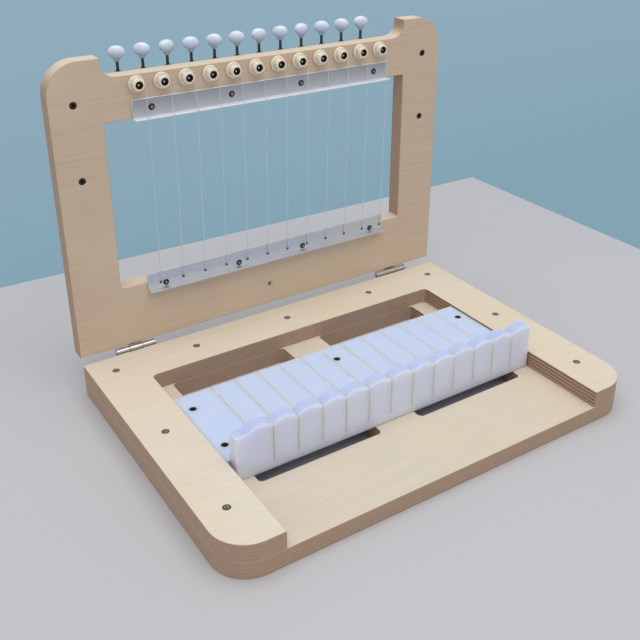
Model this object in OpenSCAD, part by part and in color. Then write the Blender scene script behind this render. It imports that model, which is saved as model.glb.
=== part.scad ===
/* Wire slicer with a hinged frame: a two-layer plywood base carries a white cutting plate and an upright
   comb fence, and a plywood frame strung with twelve tuned wires folds down over them on two hinges.
   Millimetres. X runs along the hinge, Y from the open front to the hinge, Z up from the table.
   The origin is the middle of the base's underside, and the frame is drawn standing open. */

/* [Boards] */
// Length of the base along the hinge
base_w = 400; // [300:1:500]
// Depth of the base from front to back
base_d = 280; // [220:1:340]
// Thickness of each plywood layer
ply = 15.5; // [12:0.1:18]
// Radius of the base's two front corners
front_r = 30; // [5:1:40]
// Width of the raised rim along each side
rim_w = 45.5; // [35:0.5:60]
// Width of the raised rim along the back
rim_back = 48.2; // [40:0.1:60]

/* [Frame] */
// Height of the frame above its bottom edge
frame_h = 265.2; // [220:0.1:300]
// Width of each side of the frame
stile_w = 44.5; // [35:0.5:60]
// Height of the frame's lower rail
sill_h = 58; // [45:0.5:70]
// Height of the upper rail, from the window to its top edge
rail_w = 37.2; // [34:0.1:50]
// How far the two ears stand above the upper rail
ear_up = 16.5; // [14:0.1:30]
// Radius of the two ears' outer corners
ear_r = 28; // [5:1:40]

/* [Wires] */
// Number of wires
wires_n = 12; // [4:1:12]
// Distance between neighbouring wires
pitch = 22.6; // [20:0.1:30]
// Wire radius
wire_r = 0.3; // [0.2:0.05:0.5]
// Width of the slot that a wire drops into
slot_w = 1.2; // [1:0.1:2]

/* [Plate and fence] */
// Drop from the rim's top to the plate's top
plate_drop = 1.8; // [0.5:0.1:5]
// Height of the fence's crests above the table
crest_z = 60.5; // [50:0.5:70]
// Depth of the scallops between the crests
scallop = 4.4; // [2:0.1:6]
// Thickness of the fence
fence_t = 12; // [6:0.5:16]

/* [Tuners] */
// Teeth on each tuner's gear
teeth = 14; // [12:1:18]
// Module of the worm and gear
tooth_m = 0.6; // [0.5:0.05:0.7]
// Diameter of the pearl buttons
button_d = 14.4; // [10:0.1:18]

/* [Hidden] */
$fn = 48;
eps = 0.01;
// Named clearances
fit_gap = 0.3;    // between pieces of one body that are laid side by side
close_gap = 0.4;  // between the shut frame and the rim
run_gap = 0.05;   // radial, between a shaft and its bore
free_gap = 0.3;   // between pieces that move past each other
// Hinge axis and the frame's front face, with the frame standing open
base_top = 2 * ply;
leaf_t = 1.5;
hinge_off = 4.9;
axis_y = base_d / 2 + hinge_off;
axis_z = base_top;
face_y = axis_y + close_gap;
foot_z = axis_z + hinge_off;
knuckle_r = 3.2;
pin_r = 1.4;
hinge_len = 38;
hinge_x = base_w / 2 - 52;
hinge_tab = 1.5;
leaf_h = 24;
// Rim, board openings and plate
rim_x = base_w / 2 - rim_w;
rim_y = base_d / 2 - rim_back;
rim_r = 5;
web_x = 20.3;
side_web_x = rim_x - 18.5;
open_front_y = rim_y - 160.8;
open_r = 4;
plate_back_y = rim_y - 42;
plate_top = base_top - plate_drop;
fence_y = rim_y - 151.8;
fence_x0 = 4 - rim_x;
fence_x1 = rim_x - 1.5;
slot_z = ply + 7.5;
fence_r = 2;        // rounding of the fence's low left corner
fence_end_r = 4;    // and of its high right corner
// Heights on the frame, from its top edge down and from the sill up
rail_h = frame_h - ear_up;
head_h = rail_h - rail_w;
spool_h = rail_h - 7.9;
fillet_r = 13;
ear_in = 1.5;       // from the window's side to the inner side of each ear
window_r = 2.5;
// Wires, counted from the left, and the spools that wind them
wire_mid = 6.3;
spool_mid = -0.5;
function wire_x(i) = wire_mid + (i - (wires_n - 1) / 2) * pitch;
function spool_x(i) = spool_mid + (i - (wires_n - 1) / 2) * pitch;
// Two angles across the window: the upper one at its head, the lower one just under the sill
angle_h = 17.2;
angle_t = 1.5;
lip_d = 8;
top_angle_h = head_h - 0.9;
low_angle_h = sill_h - 8.7;
angle_x0 = wire_x(0) - 12.5;
angle_x1 = wire_x(wires_n - 1) + 2.9;
hole_h = low_angle_h + 6.5;
hole_r = 1.1;
notch_n = 6;      // the wire stands this far in front of the frame at the upper angle
hole_n = 2.0;     // and this far at the lower angle
wire_side = 0.7;  // between the spool's barrel and the wire that leaves it
// Spool, gear and worm
barrel_r = 5.2;
collar_r = 7.2;
collar_t = 2.5;
spool_front = 8.5;
post_r = 2;
bracket_t = 1.2;
gear_t = 2.8;
gear_r = teeth * tooth_m / 2;
worm_r = 2.3;
shaft_r = 1.3;
lead = PI * tooth_m;
worm_x = -(gear_r + worm_r);
worm_len = 11;
worm_turns = 4;
worm_steps = 9;
gear_y = face_y + ply + 5.4;
spool_z = foot_z + spool_h;
lug_t = 1.7;
button_h = 13;
button_t = 9.8;
button_z = spool_z + 22;
bracket_left = 3;    // bracket plate, from the worm's axis to its left edge
bracket_right = 7.5; // and from the spool's axis to its right edge
bracket_low = 8.7;
bracket_high = 8.5;
// Screws: radius, head height and length
wood_r = 1.5;
wood_head_r = 3.1;
wood_head_h = 1.6;
wood_sunk = 0.3;
rim_screw_len = 21;
plate_screw_len = 19;
frame_screw_len = 10;
pan_r = 3;
pan_head = 1.8;
pan_len = 9;
leaf_pan_r = 2.4;
leaf_pan_head = 1.2;
leaf_screw_y = 8.2;  // from the hinge axis to the middle of the plywood's edge
leaf_screw_len = 12;
tuner_pan_r = 1.8;
tuner_pan_head = 1;
tuner_screw_len = 7;
pilot = 0.1;         // radial, between a screw and its hole

// Positions shared by several pieces
function frame_y(n) = face_y - n;
function frame_z(h) = foot_z + h;
rim_screw_x = base_w / 2 - 22;
rim_screw_y = [44 - base_d / 2, 10, base_d / 2 - 23];
RIM_SCREWS = concat([for (s = [-1, 1], y = rim_screw_y) [s * rim_screw_x, y]],
    [for (s = [-1, 0, 1]) [s * (rim_screw_x - 79), rim_screw_y[2]]]);
plate_screw_x = rim_x - 9.5;
PLATE_SCREWS = [for (x = [-plate_screw_x, 0, plate_screw_x],
    y = [fence_y + fence_t + 19, plate_back_y - 21.3]) [x, y]];
frame_screw_x = base_w / 2 - 21;
FRAME_SCREWS = concat([for (s = [-1, 1], h = [rail_h - 18.7, rail_h - 83.5]) [s * frame_screw_x, h]],
    [[-3, sill_h - 36.6]]);
ANGLE_SCREW_X = [angle_x0 + 17.5, angle_x0 + 93.5, angle_x1 - 98.3, angle_x1 - 15.5];
LEAF_SCREW_X = [8 - hinge_len / 2, hinge_len / 2 - 8];
TUNER_SCREWS = [for (z = [2.3 - bracket_low, bracket_high - 2.3]) [bracket_right - 2.6, z]];
function button_turn(i) = (i * 67 + 12) % 180;
function angle_screw_h(top) = top ? top_angle_h + 9.2 : low_angle_h + 5;

// Rectangle with four rounded corners, from corner a to corner b
module rounded_rect(a, b, r) {
    for (x = [a[0] + r, b[0] - r], y = [a[1] + r, b[1] - r])
        translate([x, y])
            circle(r);
    translate([a[0] + r, a[1]])
        square([b[0] - a[0] - 2 * r, b[1] - a[1]]);
    translate([a[0], a[1] + r])
        square([b[0] - a[0], b[1] - a[1] - 2 * r]);
}

// Outline of both base layers: square at the hinge, rounded at the front
module base_outline() {
    for (x = [-1, 1])
        translate([x * (base_w / 2 - front_r), front_r - base_d / 2])
            circle(front_r);
    translate([front_r - base_w / 2, -base_d / 2])
        square([base_w - 2 * front_r, base_d]);
    translate([-base_w / 2, front_r - base_d / 2])
        square([base_w, base_d - front_r]);
}

// Countersunk hole for a wood screw whose head is sunk a little below z = 0, opening upward
module screw_hole(depth) {
    seat = wood_sunk + wood_head_h + pilot;
    translate([0, 0, -wood_sunk])
        cylinder(h = wood_sunk + eps, r = wood_head_r + 2 * pilot);
    translate([0, 0, -seat])
        cylinder(h = wood_head_h + pilot, r1 = wood_r + pilot, r2 = wood_head_r + 2 * pilot);
    translate([0, 0, -depth])
        cylinder(h = depth, r = wood_r + pilot);
}

// Countersunk wood screw with a cross recess, its head just below z = 0
module wood_screw(length) {
    recess = wood_head_r * 0.55;
    translate([0, 0, -wood_sunk])
        difference() {
            union() {
                translate([0, 0, -wood_head_h])
                    cylinder(h = wood_head_h, r1 = wood_r, r2 = wood_head_r);
                translate([0, 0, -length])
                    cylinder(h = length - wood_head_h / 2, r = wood_r);
                translate([0, 0, -length - wood_r])
                    cylinder(h = wood_r, r1 = 0.2 * wood_r, r2 = wood_r);
            }
            for (a = [0, 90])
                rotate(a)
                    translate([-recess, -0.2 * recess, -wood_r * 0.6])
                        cube([2 * recess, 0.4 * recess, wood_r]);
        }
}

// Small pan-head screw that sits on z = 0, with a cross recess
module pan_screw(r, head, length) {
    difference() {
        union() {
            cylinder(h = head * 0.5, r = r);
            translate([0, 0, head * 0.5])
                cylinder(h = head * 0.5, r1 = r, r2 = r * 0.7);
            translate([0, 0, -length])
                cylinder(h = length + eps, r = r * 0.5);
        }
        for (a = [0, 90])
            rotate(a)
                translate([-r * 0.6, -r * 0.12, head * 0.45])
                    cube([r * 1.2, r * 0.24, head]);
    }
}

// Lower layer of the base, with two openings between the webs that carry the plate
module base_board() {
    pilot_z = base_top - rim_screw_len - 3;
    color("burlywood")
        difference() {
            linear_extrude(ply)
                difference() {
                    base_outline();
                    rounded_rect([-side_web_x, open_front_y], [-web_x, rim_y], open_r);
                    rounded_rect([web_x, open_front_y], [side_web_x, rim_y], open_r);
                }
            for (p = concat(RIM_SCREWS, PLATE_SCREWS))
                translate([p[0], p[1], pilot_z])
                    cylinder(h = ply, r = wood_r + pilot);
        }
}

// Upper layer: a rim along both sides and the back, open at the front
module base_rim() {
    color("burlywood")
        difference() {
            translate([0, 0, ply])
                linear_extrude(ply)
                    difference() {
                        base_outline();
                        rounded_rect([-rim_x, -base_d], [rim_x, rim_y], rim_r);
                    }
            for (p = RIM_SCREWS)
                translate([p[0], p[1], base_top])
                    screw_hole(ply + eps);
            at_leaf_screws()
                rotate([90, 0, 0])
                    cylinder(h = leaf_screw_len, r = leaf_pan_r / 2 + pilot);
        }
}

// White plate that the block lies on, with a slot under every wire
module cutting_plate() {
    color("white")
        difference() {
            translate([fit_gap - rim_x, fence_y + fence_t, ply])
                cube([2 * (rim_x - fit_gap), plate_back_y - fence_y - fence_t, plate_top - ply]);
            for (i = [0:wires_n - 1])
                translate([wire_x(i) - slot_w / 2, fence_y, slot_z])
                    cube([slot_w, base_d, ply]);
            for (p = PLATE_SCREWS)
                translate([p[0], p[1], plate_top])
                    screw_hole(ply);
        }
}

// Fence: a low shoulder, then arched teeth between the wires, parted by slots down to the plate's slots
module comb_fence() {
    half = pitch / 2;
    arc_r = (half * half + scallop * scallop) / (2 * scallop);
    trough_z = crest_z - scallop;
    first_x = wire_x(0) - pitch * floor((wire_x(0) - fence_x0) / pitch);
    last_x = first_x + pitch * floor((fence_x1 - first_x - fence_end_r) / pitch);
    color("white")
        difference() {
            translate([fence_x0, fence_y, ply])
                cube([fence_x1 - fence_x0, fence_t, crest_z - ply]);
            translate([fence_x0 - 1, fence_y - 1, trough_z])
                cube([first_x - fence_x0 + 1, fence_t + 2, scallop + 1]);
            translate([fence_x0, fence_y, trough_z])
                corner_cut(fence_r);
            translate([fence_x1, fence_y + fence_t, crest_z])
                rotate(180)
                    corner_cut(fence_end_r);
            for (x = [first_x + half : pitch : last_x - half + eps])
                tooth_cut(x, half, half, arc_r);
            tooth_cut(last_x + half, half, 0, arc_r);
            for (i = [0:wires_n - 1])
                translate([wire_x(i) - slot_w / 2, fence_y - 1, slot_z])
                    cube([slot_w, fence_t + 2, crest_z]);
        }
}

// What is cut away above one tooth to leave its arched top, from x - before to x + after
module tooth_cut(x, before, after, arc_r) {
    translate([x, fence_y - 1, 0])
        difference() {
            translate([-before, 0, crest_z - scallop])
                cube([before + after, fence_t + 2, scallop + 1]);
            translate([0, -1, crest_z - arc_r])
                rotate([-90, 0, 0])
                    cylinder(h = fence_t + 4, r = arc_r);
        }
}

// What is cut away to round the fence's top corner at the origin, toward +X
module corner_cut(r) {
    difference() {
        translate([-1, -1, -r])
            cube([r + 1, fence_t + 2, r + 1]);
        translate([r, -2, -r])
            rotate([-90, 0, 0])
                cylinder(h = fence_t + 4, r = r);
    }
}

// Nine screws through the rim into the lower layer
module rim_screws() {
    color("dimgray")
        for (p = RIM_SCREWS)
            translate([p[0], p[1], base_top])
                wood_screw(rim_screw_len);
}

// Six screws through the plate into the board below
module plate_screws() {
    color("dimgray")
        for (p = PLATE_SCREWS)
            translate([p[0], p[1], plate_top])
                wood_screw(plate_screw_len);
}

// One hinge leaf in the base's position: a plate on the back edge and a tab under the knuckles
module hinge_leaf(spans) {
    difference() {
        union() {
            translate([-hinge_len / 2, -hinge_off, -leaf_h])
                cube([hinge_len, leaf_t, leaf_h - hinge_tab]);
            for (s = spans)
                translate([s[0], 0, 0]) {
                    translate([0, -hinge_off, -knuckle_r])
                        cube([s[1] - s[0], hinge_off, knuckle_r - hinge_tab]);
                    rotate([0, 90, 0])
                        cylinder(h = s[1] - s[0], r = knuckle_r);
                }
        }
        translate([-hinge_len, 0, 0])
            rotate([0, 90, 0])
                cylinder(h = 2 * hinge_len, r = pin_r + run_gap);
        for (x = LEAF_SCREW_X)
            translate([x, 0, -leaf_screw_y])
                rotate([90, 0, 0])
                    cylinder(h = 2 * hinge_off, r = leaf_pan_r / 2 + pilot);
    }
}

function outer_spans() = [[-hinge_len / 2, -hinge_len / 6 - free_gap / 2],
    [hinge_len / 6 + free_gap / 2, hinge_len / 2]];
function middle_span() = [[-hinge_len / 6 + free_gap / 2, hinge_len / 6 - free_gap / 2]];

module at_hinges() {
    for (x = [-hinge_x, hinge_x])
        translate([x, axis_y, axis_z])
            children();
}

// Two leaves on the base's back edge, each with the outer knuckles
module base_leaves() {
    color("silver")
        at_hinges()
            hinge_leaf(outer_spans());
}

// Two leaves under the frame's bottom edge, each with the middle knuckle
module frame_leaves() {
    color("silver")
        at_hinges()
            mirror([0, 1, 1])
                hinge_leaf(middle_span());
}

// One pin through each hinge, with a low head at both ends
module hinge_pins() {
    color("gainsboro")
        at_hinges()
            rotate([0, 90, 0]) {
                cylinder(h = hinge_len + 2 * free_gap, r = pin_r, center = true);
                for (s = [-1, 1])
                    translate([0, 0, s * (hinge_len / 2 + free_gap + 0.4)])
                        cylinder(h = 0.8, r = 2, center = true);
            }
}

// Heads of the screws in the base's leaves
module at_leaf_screws() {
    at_hinges()
        for (x = LEAF_SCREW_X)
            translate([x, leaf_t - hinge_off, -leaf_screw_y])
                children();
}

// Screws that hold the leaves to the base's back edge
module base_leaf_screws() {
    color("gray")
        at_leaf_screws()
            rotate([-90, 0, 0])
                pan_screw(leaf_pan_r, leaf_pan_head, leaf_screw_len - 0.5);
}

// Screws that hold the leaves under the frame's bottom edge
module frame_leaf_screws() {
    color("gray")
        at_hinges()
            for (x = LEAF_SCREW_X)
                translate([x, leaf_screw_y, hinge_off - leaf_t])
                    rotate([180, 0, 0])
                        pan_screw(leaf_pan_r, leaf_pan_head, leaf_screw_len - 0.5);
}

// Places a drawing made in X and height onto the frame, standing n in front of its face
module on_frame(n) {
    translate([0, frame_y(n), foot_z])
        rotate([90, 0, 0])
            children();
}

// Frame outline with its two ears, seen from the front
module frame_outline() {
    half = base_w / 2;
    ear_x = half - stile_w - ear_in;
    difference() {
        union() {
            translate([-half, 0])
                square([base_w, frame_h - ear_r]);
            translate([ear_r - half, 0])
                square([base_w - 2 * ear_r, frame_h]);
            for (s = [-1, 1])
                translate([s * (half - ear_r), frame_h - ear_r])
                    circle(ear_r);
        }
        translate([fillet_r - ear_x, rail_h])
            square([2 * (ear_x - fillet_r), frame_h]);
        translate([-ear_x, rail_h + fillet_r])
            square([2 * ear_x, frame_h]);
        for (s = [-1, 1])
            translate([s * (ear_x - fillet_r), rail_h + fillet_r])
                circle(fillet_r);
        rounded_rect([stile_w - half, sill_h], [half - stile_w, head_h], window_r);
    }
}

// Plywood frame with its window, drilled for the spools and the screws
module frame_panel() {
    color("burlywood")
        difference() {
            on_frame(-ply)
                linear_extrude(ply)
                    frame_outline();
            for (i = [0:wires_n - 1])
                translate([spool_x(i), face_y - 1, spool_z])
                    rotate([-90, 0, 0])
                        cylinder(h = ply + 2, r = barrel_r + free_gap);
            for (p = FRAME_SCREWS)
                translate([p[0], face_y, foot_z + p[1]])
                    rotate([90, 0, 0])
                        screw_hole(frame_screw_len + 3);
            for (top = [true, false], x = ANGLE_SCREW_X)
                translate([x, face_y - 1, frame_z(angle_screw_h(top))])
                    rotate([-90, 0, 0])
                        cylinder(h = pan_len + 1, r = pan_r / 2 + pilot);
            for (x = LEAF_SCREW_X)
                at_hinges()
                    translate([x, leaf_screw_y, 0])
                        cylinder(h = hinge_off + leaf_screw_len, r = leaf_pan_r / 2 + pilot);
            for (i = [0:wires_n - 1], p = TUNER_SCREWS)
                translate([spool_x(i) + p[0], face_y + ply + 1, spool_z + p[1]])
                    rotate([90, 0, 0])
                        cylinder(h = tuner_screw_len + 1, r = tuner_pan_r / 2 + pilot);
        }
}

// Dark recessed screws in the frame's front face
module frame_screws() {
    color("black")
        for (p = FRAME_SCREWS)
            translate([p[0], face_y, foot_z + p[1]])
                rotate([90, 0, 0])
                    wood_screw(frame_screw_len);
}

// Aluminium angle: a leg flat on the frame's face and a lip at its foot that points forward
module angle_bar(h) {
    translate([angle_x0, frame_y(angle_t), frame_z(h)])
        cube([angle_x1 - angle_x0, angle_t, angle_h]);
    translate([angle_x0, frame_y(lip_d), frame_z(h)])
        cube([angle_x1 - angle_x0, lip_d, angle_t]);
}

module angle_screw_holes(top) {
    for (x = ANGLE_SCREW_X)
        translate([x, frame_y(-eps), frame_z(angle_screw_h(top))])
            rotate([90, 0, 0])
                cylinder(h = angle_t + 1, r = pan_r / 2 + 2 * pilot);
}

// Upper angle, with a notch in its lip for every wire
module top_angle() {
    color("lightgray")
        difference() {
            angle_bar(top_angle_h);
            angle_screw_holes(true);
            for (i = [0:wires_n - 1])
                translate([wire_x(i) - slot_w / 2, frame_y(lip_d + 1), frame_z(top_angle_h) - 1])
                    cube([slot_w, lip_d + 1 - notch_n + wire_r + 0.1, angle_t + 2]);
        }
}

// Lower angle, with a hole for every wire
module bottom_angle() {
    color("lightgray")
        difference() {
            angle_bar(low_angle_h);
            angle_screw_holes(false);
            for (i = [0:wires_n - 1])
                translate([wire_x(i), frame_y(-eps), frame_z(hole_h)])
                    rotate([90, 0, 0])
                        cylinder(h = angle_t + 1, r = hole_r);
        }
}

// Four pan-head screws in each angle
module angle_screws() {
    color("gray")
        for (top = [true, false], x = ANGLE_SCREW_X)
            translate([x, frame_y(angle_t), frame_z(angle_screw_h(top))])
                rotate([90, 0, 0])
                    pan_screw(pan_r, pan_head, pan_len);
}

// A straight length of wire between two points
module wire_run(a, b) {
    d = b - a;
    len = norm(d);
    translate(a)
        rotate([0, acos(d[2] / len), atan2(d[1], d[0])])
            cylinder(h = len, r = wire_r);
}

// Each wire leaves its spool's right side, crosses the lip's notch and ends in the lower angle's hole
module wires() {
    color("white")
        for (i = [0:wires_n - 1]) {
            start = [spool_x(i) + barrel_r + wire_r + wire_side, frame_y(spool_front - 3), spool_z];
            lip = [wire_x(i), frame_y(notch_n), frame_z(top_angle_h + angle_t / 2)];
            anchor = [wire_x(i), frame_y(hole_n), frame_z(hole_h)];
            wire_run(lip, start);
            wire_run(anchor, lip);
            wire_run([anchor[0], frame_y(0.2), anchor[2]], anchor - [0, 0.12, 0]);
            for (bend = [lip, anchor])
                translate(bend)
                    sphere(wire_r + 0.03);
        }
}

// Bracket of one tuner: a plate on the rail's back with two lugs that carry the worm's shaft
module bracket() {
    back = face_y + ply;
    lug_z = worm_len / 2 + free_gap;
    difference() {
        union() {
            translate([worm_x - bracket_left, back, -bracket_low])
                cube([bracket_right - worm_x + bracket_left, bracket_t, bracket_low + bracket_high]);
            for (z = [-lug_z - lug_t, lug_z])
                translate([worm_x, gear_y, z]) {
                    cylinder(h = lug_t, r = shaft_r + 1.1);
                    translate([-shaft_r - 1.1, back - gear_y + eps, 0])
                        cube([2 * shaft_r + 2.2, gear_y - back, lug_t]);
                }
        }
        translate([0, back - 1, 0])
            rotate([-90, 0, 0])
                cylinder(h = bracket_t + 2, r = post_r + run_gap);
        translate([worm_x, gear_y, -20])
            cylinder(h = 40, r = shaft_r + run_gap);
        for (p = TUNER_SCREWS)
            translate([p[0], back - 1, p[1]])
                rotate([-90, 0, 0])
                    cylinder(h = bracket_t + 2, r = tuner_pan_r / 2 + pilot);
    }
}

module at_tuner(i) {
    translate([spool_x(i), 0, spool_z])
        children();
}

module tuner_brackets() {
    color("goldenrod")
        for (i = [0:wires_n - 1])
            at_tuner(i)
                bracket();
}

// Two small screws through each bracket
module bracket_screws() {
    color("silver")
        for (i = [0:wires_n - 1], p = TUNER_SCREWS)
            at_tuner(i)
                translate([p[0], face_y + ply + bracket_t, p[1]])
                    rotate([-90, 0, 0])
                        pan_screw(tuner_pan_r, tuner_pan_head, tuner_screw_len);
}

// Turned roller that the wire winds on: a barrel through the rail with a collar in front of it
module spool(i) {
    front = spool_front;
    back = -ply + 0.4;
    neck = free_gap + collar_t;
    bore = post_r + run_gap;
    color("linen")
        at_tuner(i)
            translate([0, face_y, 0])
                rotate([90, 0, 0])
                    difference() {
                        rotate_extrude()
                            polygon([[bore, back], [barrel_r, back], [barrel_r, free_gap],
                                [collar_r - 0.5, free_gap], [collar_r, free_gap + 0.5],
                                [collar_r, neck - 0.8], [collar_r - 0.8, neck], [barrel_r, neck],
                                [barrel_r, front - 1], [barrel_r - 1, front], [bore + 0.5, front],
                                [bore, front - 0.5]]);
                        rotate(i * 53)
                            translate([bore - 1, 0, front - 3])
                                rotate([0, 90, 0])
                                    cylinder(h = barrel_r, r = 0.8);
                    }
}

// Outline of the gear: trapezoid teeth with room for the worm's slanted thread
module gear_outline() {
    tip = gear_r + tooth_m;
    root = gear_r - 1.25 * tooth_m;
    step = 360 / teeth;
    function at(r, a) = [r * cos(a), r * sin(a)];
    polygon([for (k = [0:teeth - 1]) for (p = [[root, -0.24], [tip, -0.09], [tip, 0.09], [root, 0.24]])
        at(p[0], 180 + (k + p[1]) * step)]);
}

// Gear on its post: the post runs through the spool and the bracket, with a screw head behind the gear
module gear(i) {
    color("gold")
        at_tuner(i)
            translate([0, gear_y, 0])
                rotate([90, 0, 0]) {
                    linear_extrude(gear_t, center = true)
                        gear_outline();
                    cylinder(h = gear_y - face_y + spool_front - 1.5, r = post_r);
                    difference() {
                        translate([0, 0, -gear_t / 2 - 1.2])
                            cylinder(h = 1.2 + eps, r1 = 1.6, r2 = 2.2);
                        translate([-3, -0.3, -gear_t / 2 - 1.3])
                            cube([6, 0.6, 0.7]);
                    }
                }
}

// Radius of the worm's cross-section, turned a away from the middle of its crest
function worm_at(a) =
    let (tip = worm_r + tooth_m, root = worm_r - 1.25 * tooth_m, crest = 27, foot = 88)
    abs(a) <= crest ? tip
        : abs(a) >= foot ? root
        : tip + (root - tip) * (abs(a) - crest) / (foot - crest);

// Single-start worm: its cross-section rises along the shaft, one turn to each tooth of the gear
module worm() {
    // the crest facing the gear stands half a pitch away from the tooth there
    phase = -180 - 180 * worm_turns;
    height = worm_turns * lead;
    translate([0, 0, -height / 2])
        rotate(phase)
            linear_extrude(height, twist = -360 * worm_turns, slices = worm_turns * worm_steps, $fn = 11)
                polygon([for (a = [-160, -125, -88, -57, -27, 0, 27, 57, 88, 125, 160])
                    [worm_at(a) * cos(a), worm_at(a) * sin(a)]]);
}

// Pearl button: a turned knob, thinned to an oval by a large sphere on each side
module button() {
    r = button_d / 2;
    neck = 2.4;
    side_r = (pow(r + 2, 2) + pow(button_t / 2, 2)) / button_t;
    intersection() {
        rotate_extrude()
            polygon(concat([[0, -button_h / 2], [neck, -button_h / 2]],
                [for (a = [-62:8:82]) [r * cos(a), 1 + (button_h / 2 - 1) * sin(a)]],
                [[0, button_h / 2]]));
        translate([0, side_r - button_t / 2, 0])
            sphere(side_r);
        translate([0, button_t / 2 - side_r, 0])
            sphere(side_r);
    }
}

// Key: the worm's shaft, its thread and the button on top
module key(i) {
    low = -worm_len / 2 - free_gap - lug_t - 0.6;
    top = button_z - spool_z - button_h / 2 + 2;
    color("whitesmoke")
        at_tuner(i)
            translate([worm_x, gear_y, 0]) {
                translate([0, 0, low])
                    cylinder(h = top - low, r = shaft_r);
                worm();
                for (s = [0, 1])
                    mirror([0, 0, s])
                        translate([0, 0, worm_turns * lead / 2])
                            cylinder(h = (worm_len - worm_turns * lead) / 2, r = 1.9);
                translate([0, 0, button_z - spool_z])
                    rotate(button_turn(i))
                        button();
            }
}

base_board();
base_rim();
cutting_plate();
comb_fence();
rim_screws();
plate_screws();
base_leaves();
hinge_pins();
base_leaf_screws();
frame_panel();
frame_screws();
frame_leaves();
frame_leaf_screws();
top_angle();
bottom_angle();
angle_screws();
wires();
tuner_brackets();
bracket_screws();
for (i = [0:wires_n - 1]) {
    tag = str(i < 9 ? "0" : "", i + 1);
    spool(i);
    gear(i);
    key(i);
}
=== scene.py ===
# %% [markdown]
# # A twelve-wire bar slicer, dressed for its portrait
# The slicer has a plywood base with a white cutting plate and comb fence, and a plywood frame strung with
# twelve wires that folds down over them. Each wire is tuned by a worm and gear behind the frame's top rail.
# The CAD model fixes every size and every joint. This script adds what CAD leaves out: eased edges, turned
# profiles, threads, recesses, and materials with grain, plies and brush marks.
# Lengths are written in millimetres, as on a drawing, and turned into Blender's metres in one place.

# %% Load the fixed frame
import math

import bmesh
import bpy
import numpy as np
from mathutils import Matrix, Vector
from mathutils.geometry import tessellate_polygon


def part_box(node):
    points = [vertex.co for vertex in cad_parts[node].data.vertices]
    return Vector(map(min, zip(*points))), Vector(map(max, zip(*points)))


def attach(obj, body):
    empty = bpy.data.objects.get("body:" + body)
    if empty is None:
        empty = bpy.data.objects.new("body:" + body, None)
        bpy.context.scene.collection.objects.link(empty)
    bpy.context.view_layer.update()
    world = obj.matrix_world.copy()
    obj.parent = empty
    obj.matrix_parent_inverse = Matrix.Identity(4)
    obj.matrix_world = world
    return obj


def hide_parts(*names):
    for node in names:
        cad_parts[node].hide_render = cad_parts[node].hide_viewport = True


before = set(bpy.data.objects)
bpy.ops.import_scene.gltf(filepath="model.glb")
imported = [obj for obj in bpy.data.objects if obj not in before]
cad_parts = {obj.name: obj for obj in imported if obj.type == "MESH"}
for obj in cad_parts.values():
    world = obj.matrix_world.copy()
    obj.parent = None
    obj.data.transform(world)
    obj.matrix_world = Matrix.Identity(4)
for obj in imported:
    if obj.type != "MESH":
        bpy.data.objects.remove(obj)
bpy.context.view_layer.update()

# %% [markdown]
# ## Sizes that the pieces share
# A maker keeps one list of sizes and reads each piece off it. Positions are read from the CAD nodes where a
# node's box gives them. The rest repeat the values of the CAD source, apart from the wires' slots: those are
# wider in the CAD, for clearance, and here they are only just wider than the wire.

# %% Shared sizes, in millimetres
MM = 0.001


def node_box(name):
    """Lowest and highest corner of a CAD node, in millimetres."""
    low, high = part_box(name)
    return np.array(low) / MM, np.array(high) / MM


board_high = node_box("base_board")[1]
rim_high = node_box("base_rim")[1]
panel_low, panel_high = node_box("frame_panel")
plate_low, plate_high = node_box("cutting_plate")
fence_low, fence_high = node_box("comb_fence")
PLY = float(board_high[2])
RIM_TOP = float(rim_high[2])
FACE_Y = float(panel_low[1])
FOOT_Z = float(panel_low[2])
WIRES, WIRE_R, PITCH = 12, 0.3, 22.6
ROW_X = (np.arange(WIRES) - (WIRES - 1) / 2) * PITCH
WIRE_X = ROW_X + 6.3
SPOOL_X = ROW_X - 0.5
SPOOL_Z = FOOT_Z + 240.8
# Half the width of a wire's slot, and the height of its foot
SLOT, SLOT_FOOT = 0.33, PLY + 7.5
print("plywood", PLY, "frame face at y", round(FACE_Y, 2), "frame foot at z", round(FOOT_Z, 2))

# %% [markdown]
# ## Colours and one way to add a shader node
# Colours are written as the sRGB hex values a designer would pick, and Blender's shaders want linear light,
# so one function does the conversion. One more function adds any node, sets it up and wires it in, so a
# material reads as a short recipe.


# %% Colour and node helpers
def linear(hex_colour):
    """sRGB hex to linear RGBA: (c + 0.055) / 1.055 to the power 2.4, or c / 12.92 in the darkest part."""
    parts = [int(hex_colour[i : i + 2], 16) / 255 for i in (1, 3, 5)]
    return [c / 12.92 if c <= 0.04045 else ((c + 0.055) / 1.055) ** 2.4 for c in parts] + [1.0]


def add(tree, kind, inputs=None, out=0, **settings):
    """One output of a new node of this kind and these settings, or the node itself if out is None.

    Each input is set to a value or a hex colour, or linked to another node's output.
    """
    made = tree.nodes.new("ShaderNode" + kind)
    for key, value in settings.items():
        setattr(made, key, value)
    for key, value in (inputs or {}).items():
        if isinstance(value, bpy.types.NodeSocket):
            tree.links.new(value, made.inputs[key])
        else:
            made.inputs[key].default_value = linear(value) if isinstance(value, str) else value
    return made if out is None else made.outputs[out]


# In a Mix node, socket 0 is the factor, and 6 and 7 are the colours. In a Map Range node, 0 is the value, 1
# and 2 are its range, and 3 and 4 the range it's taken to: 0 to 1 unless they're set
BLEND = {"out": 2, "data_type": "RGBA"}


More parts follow.
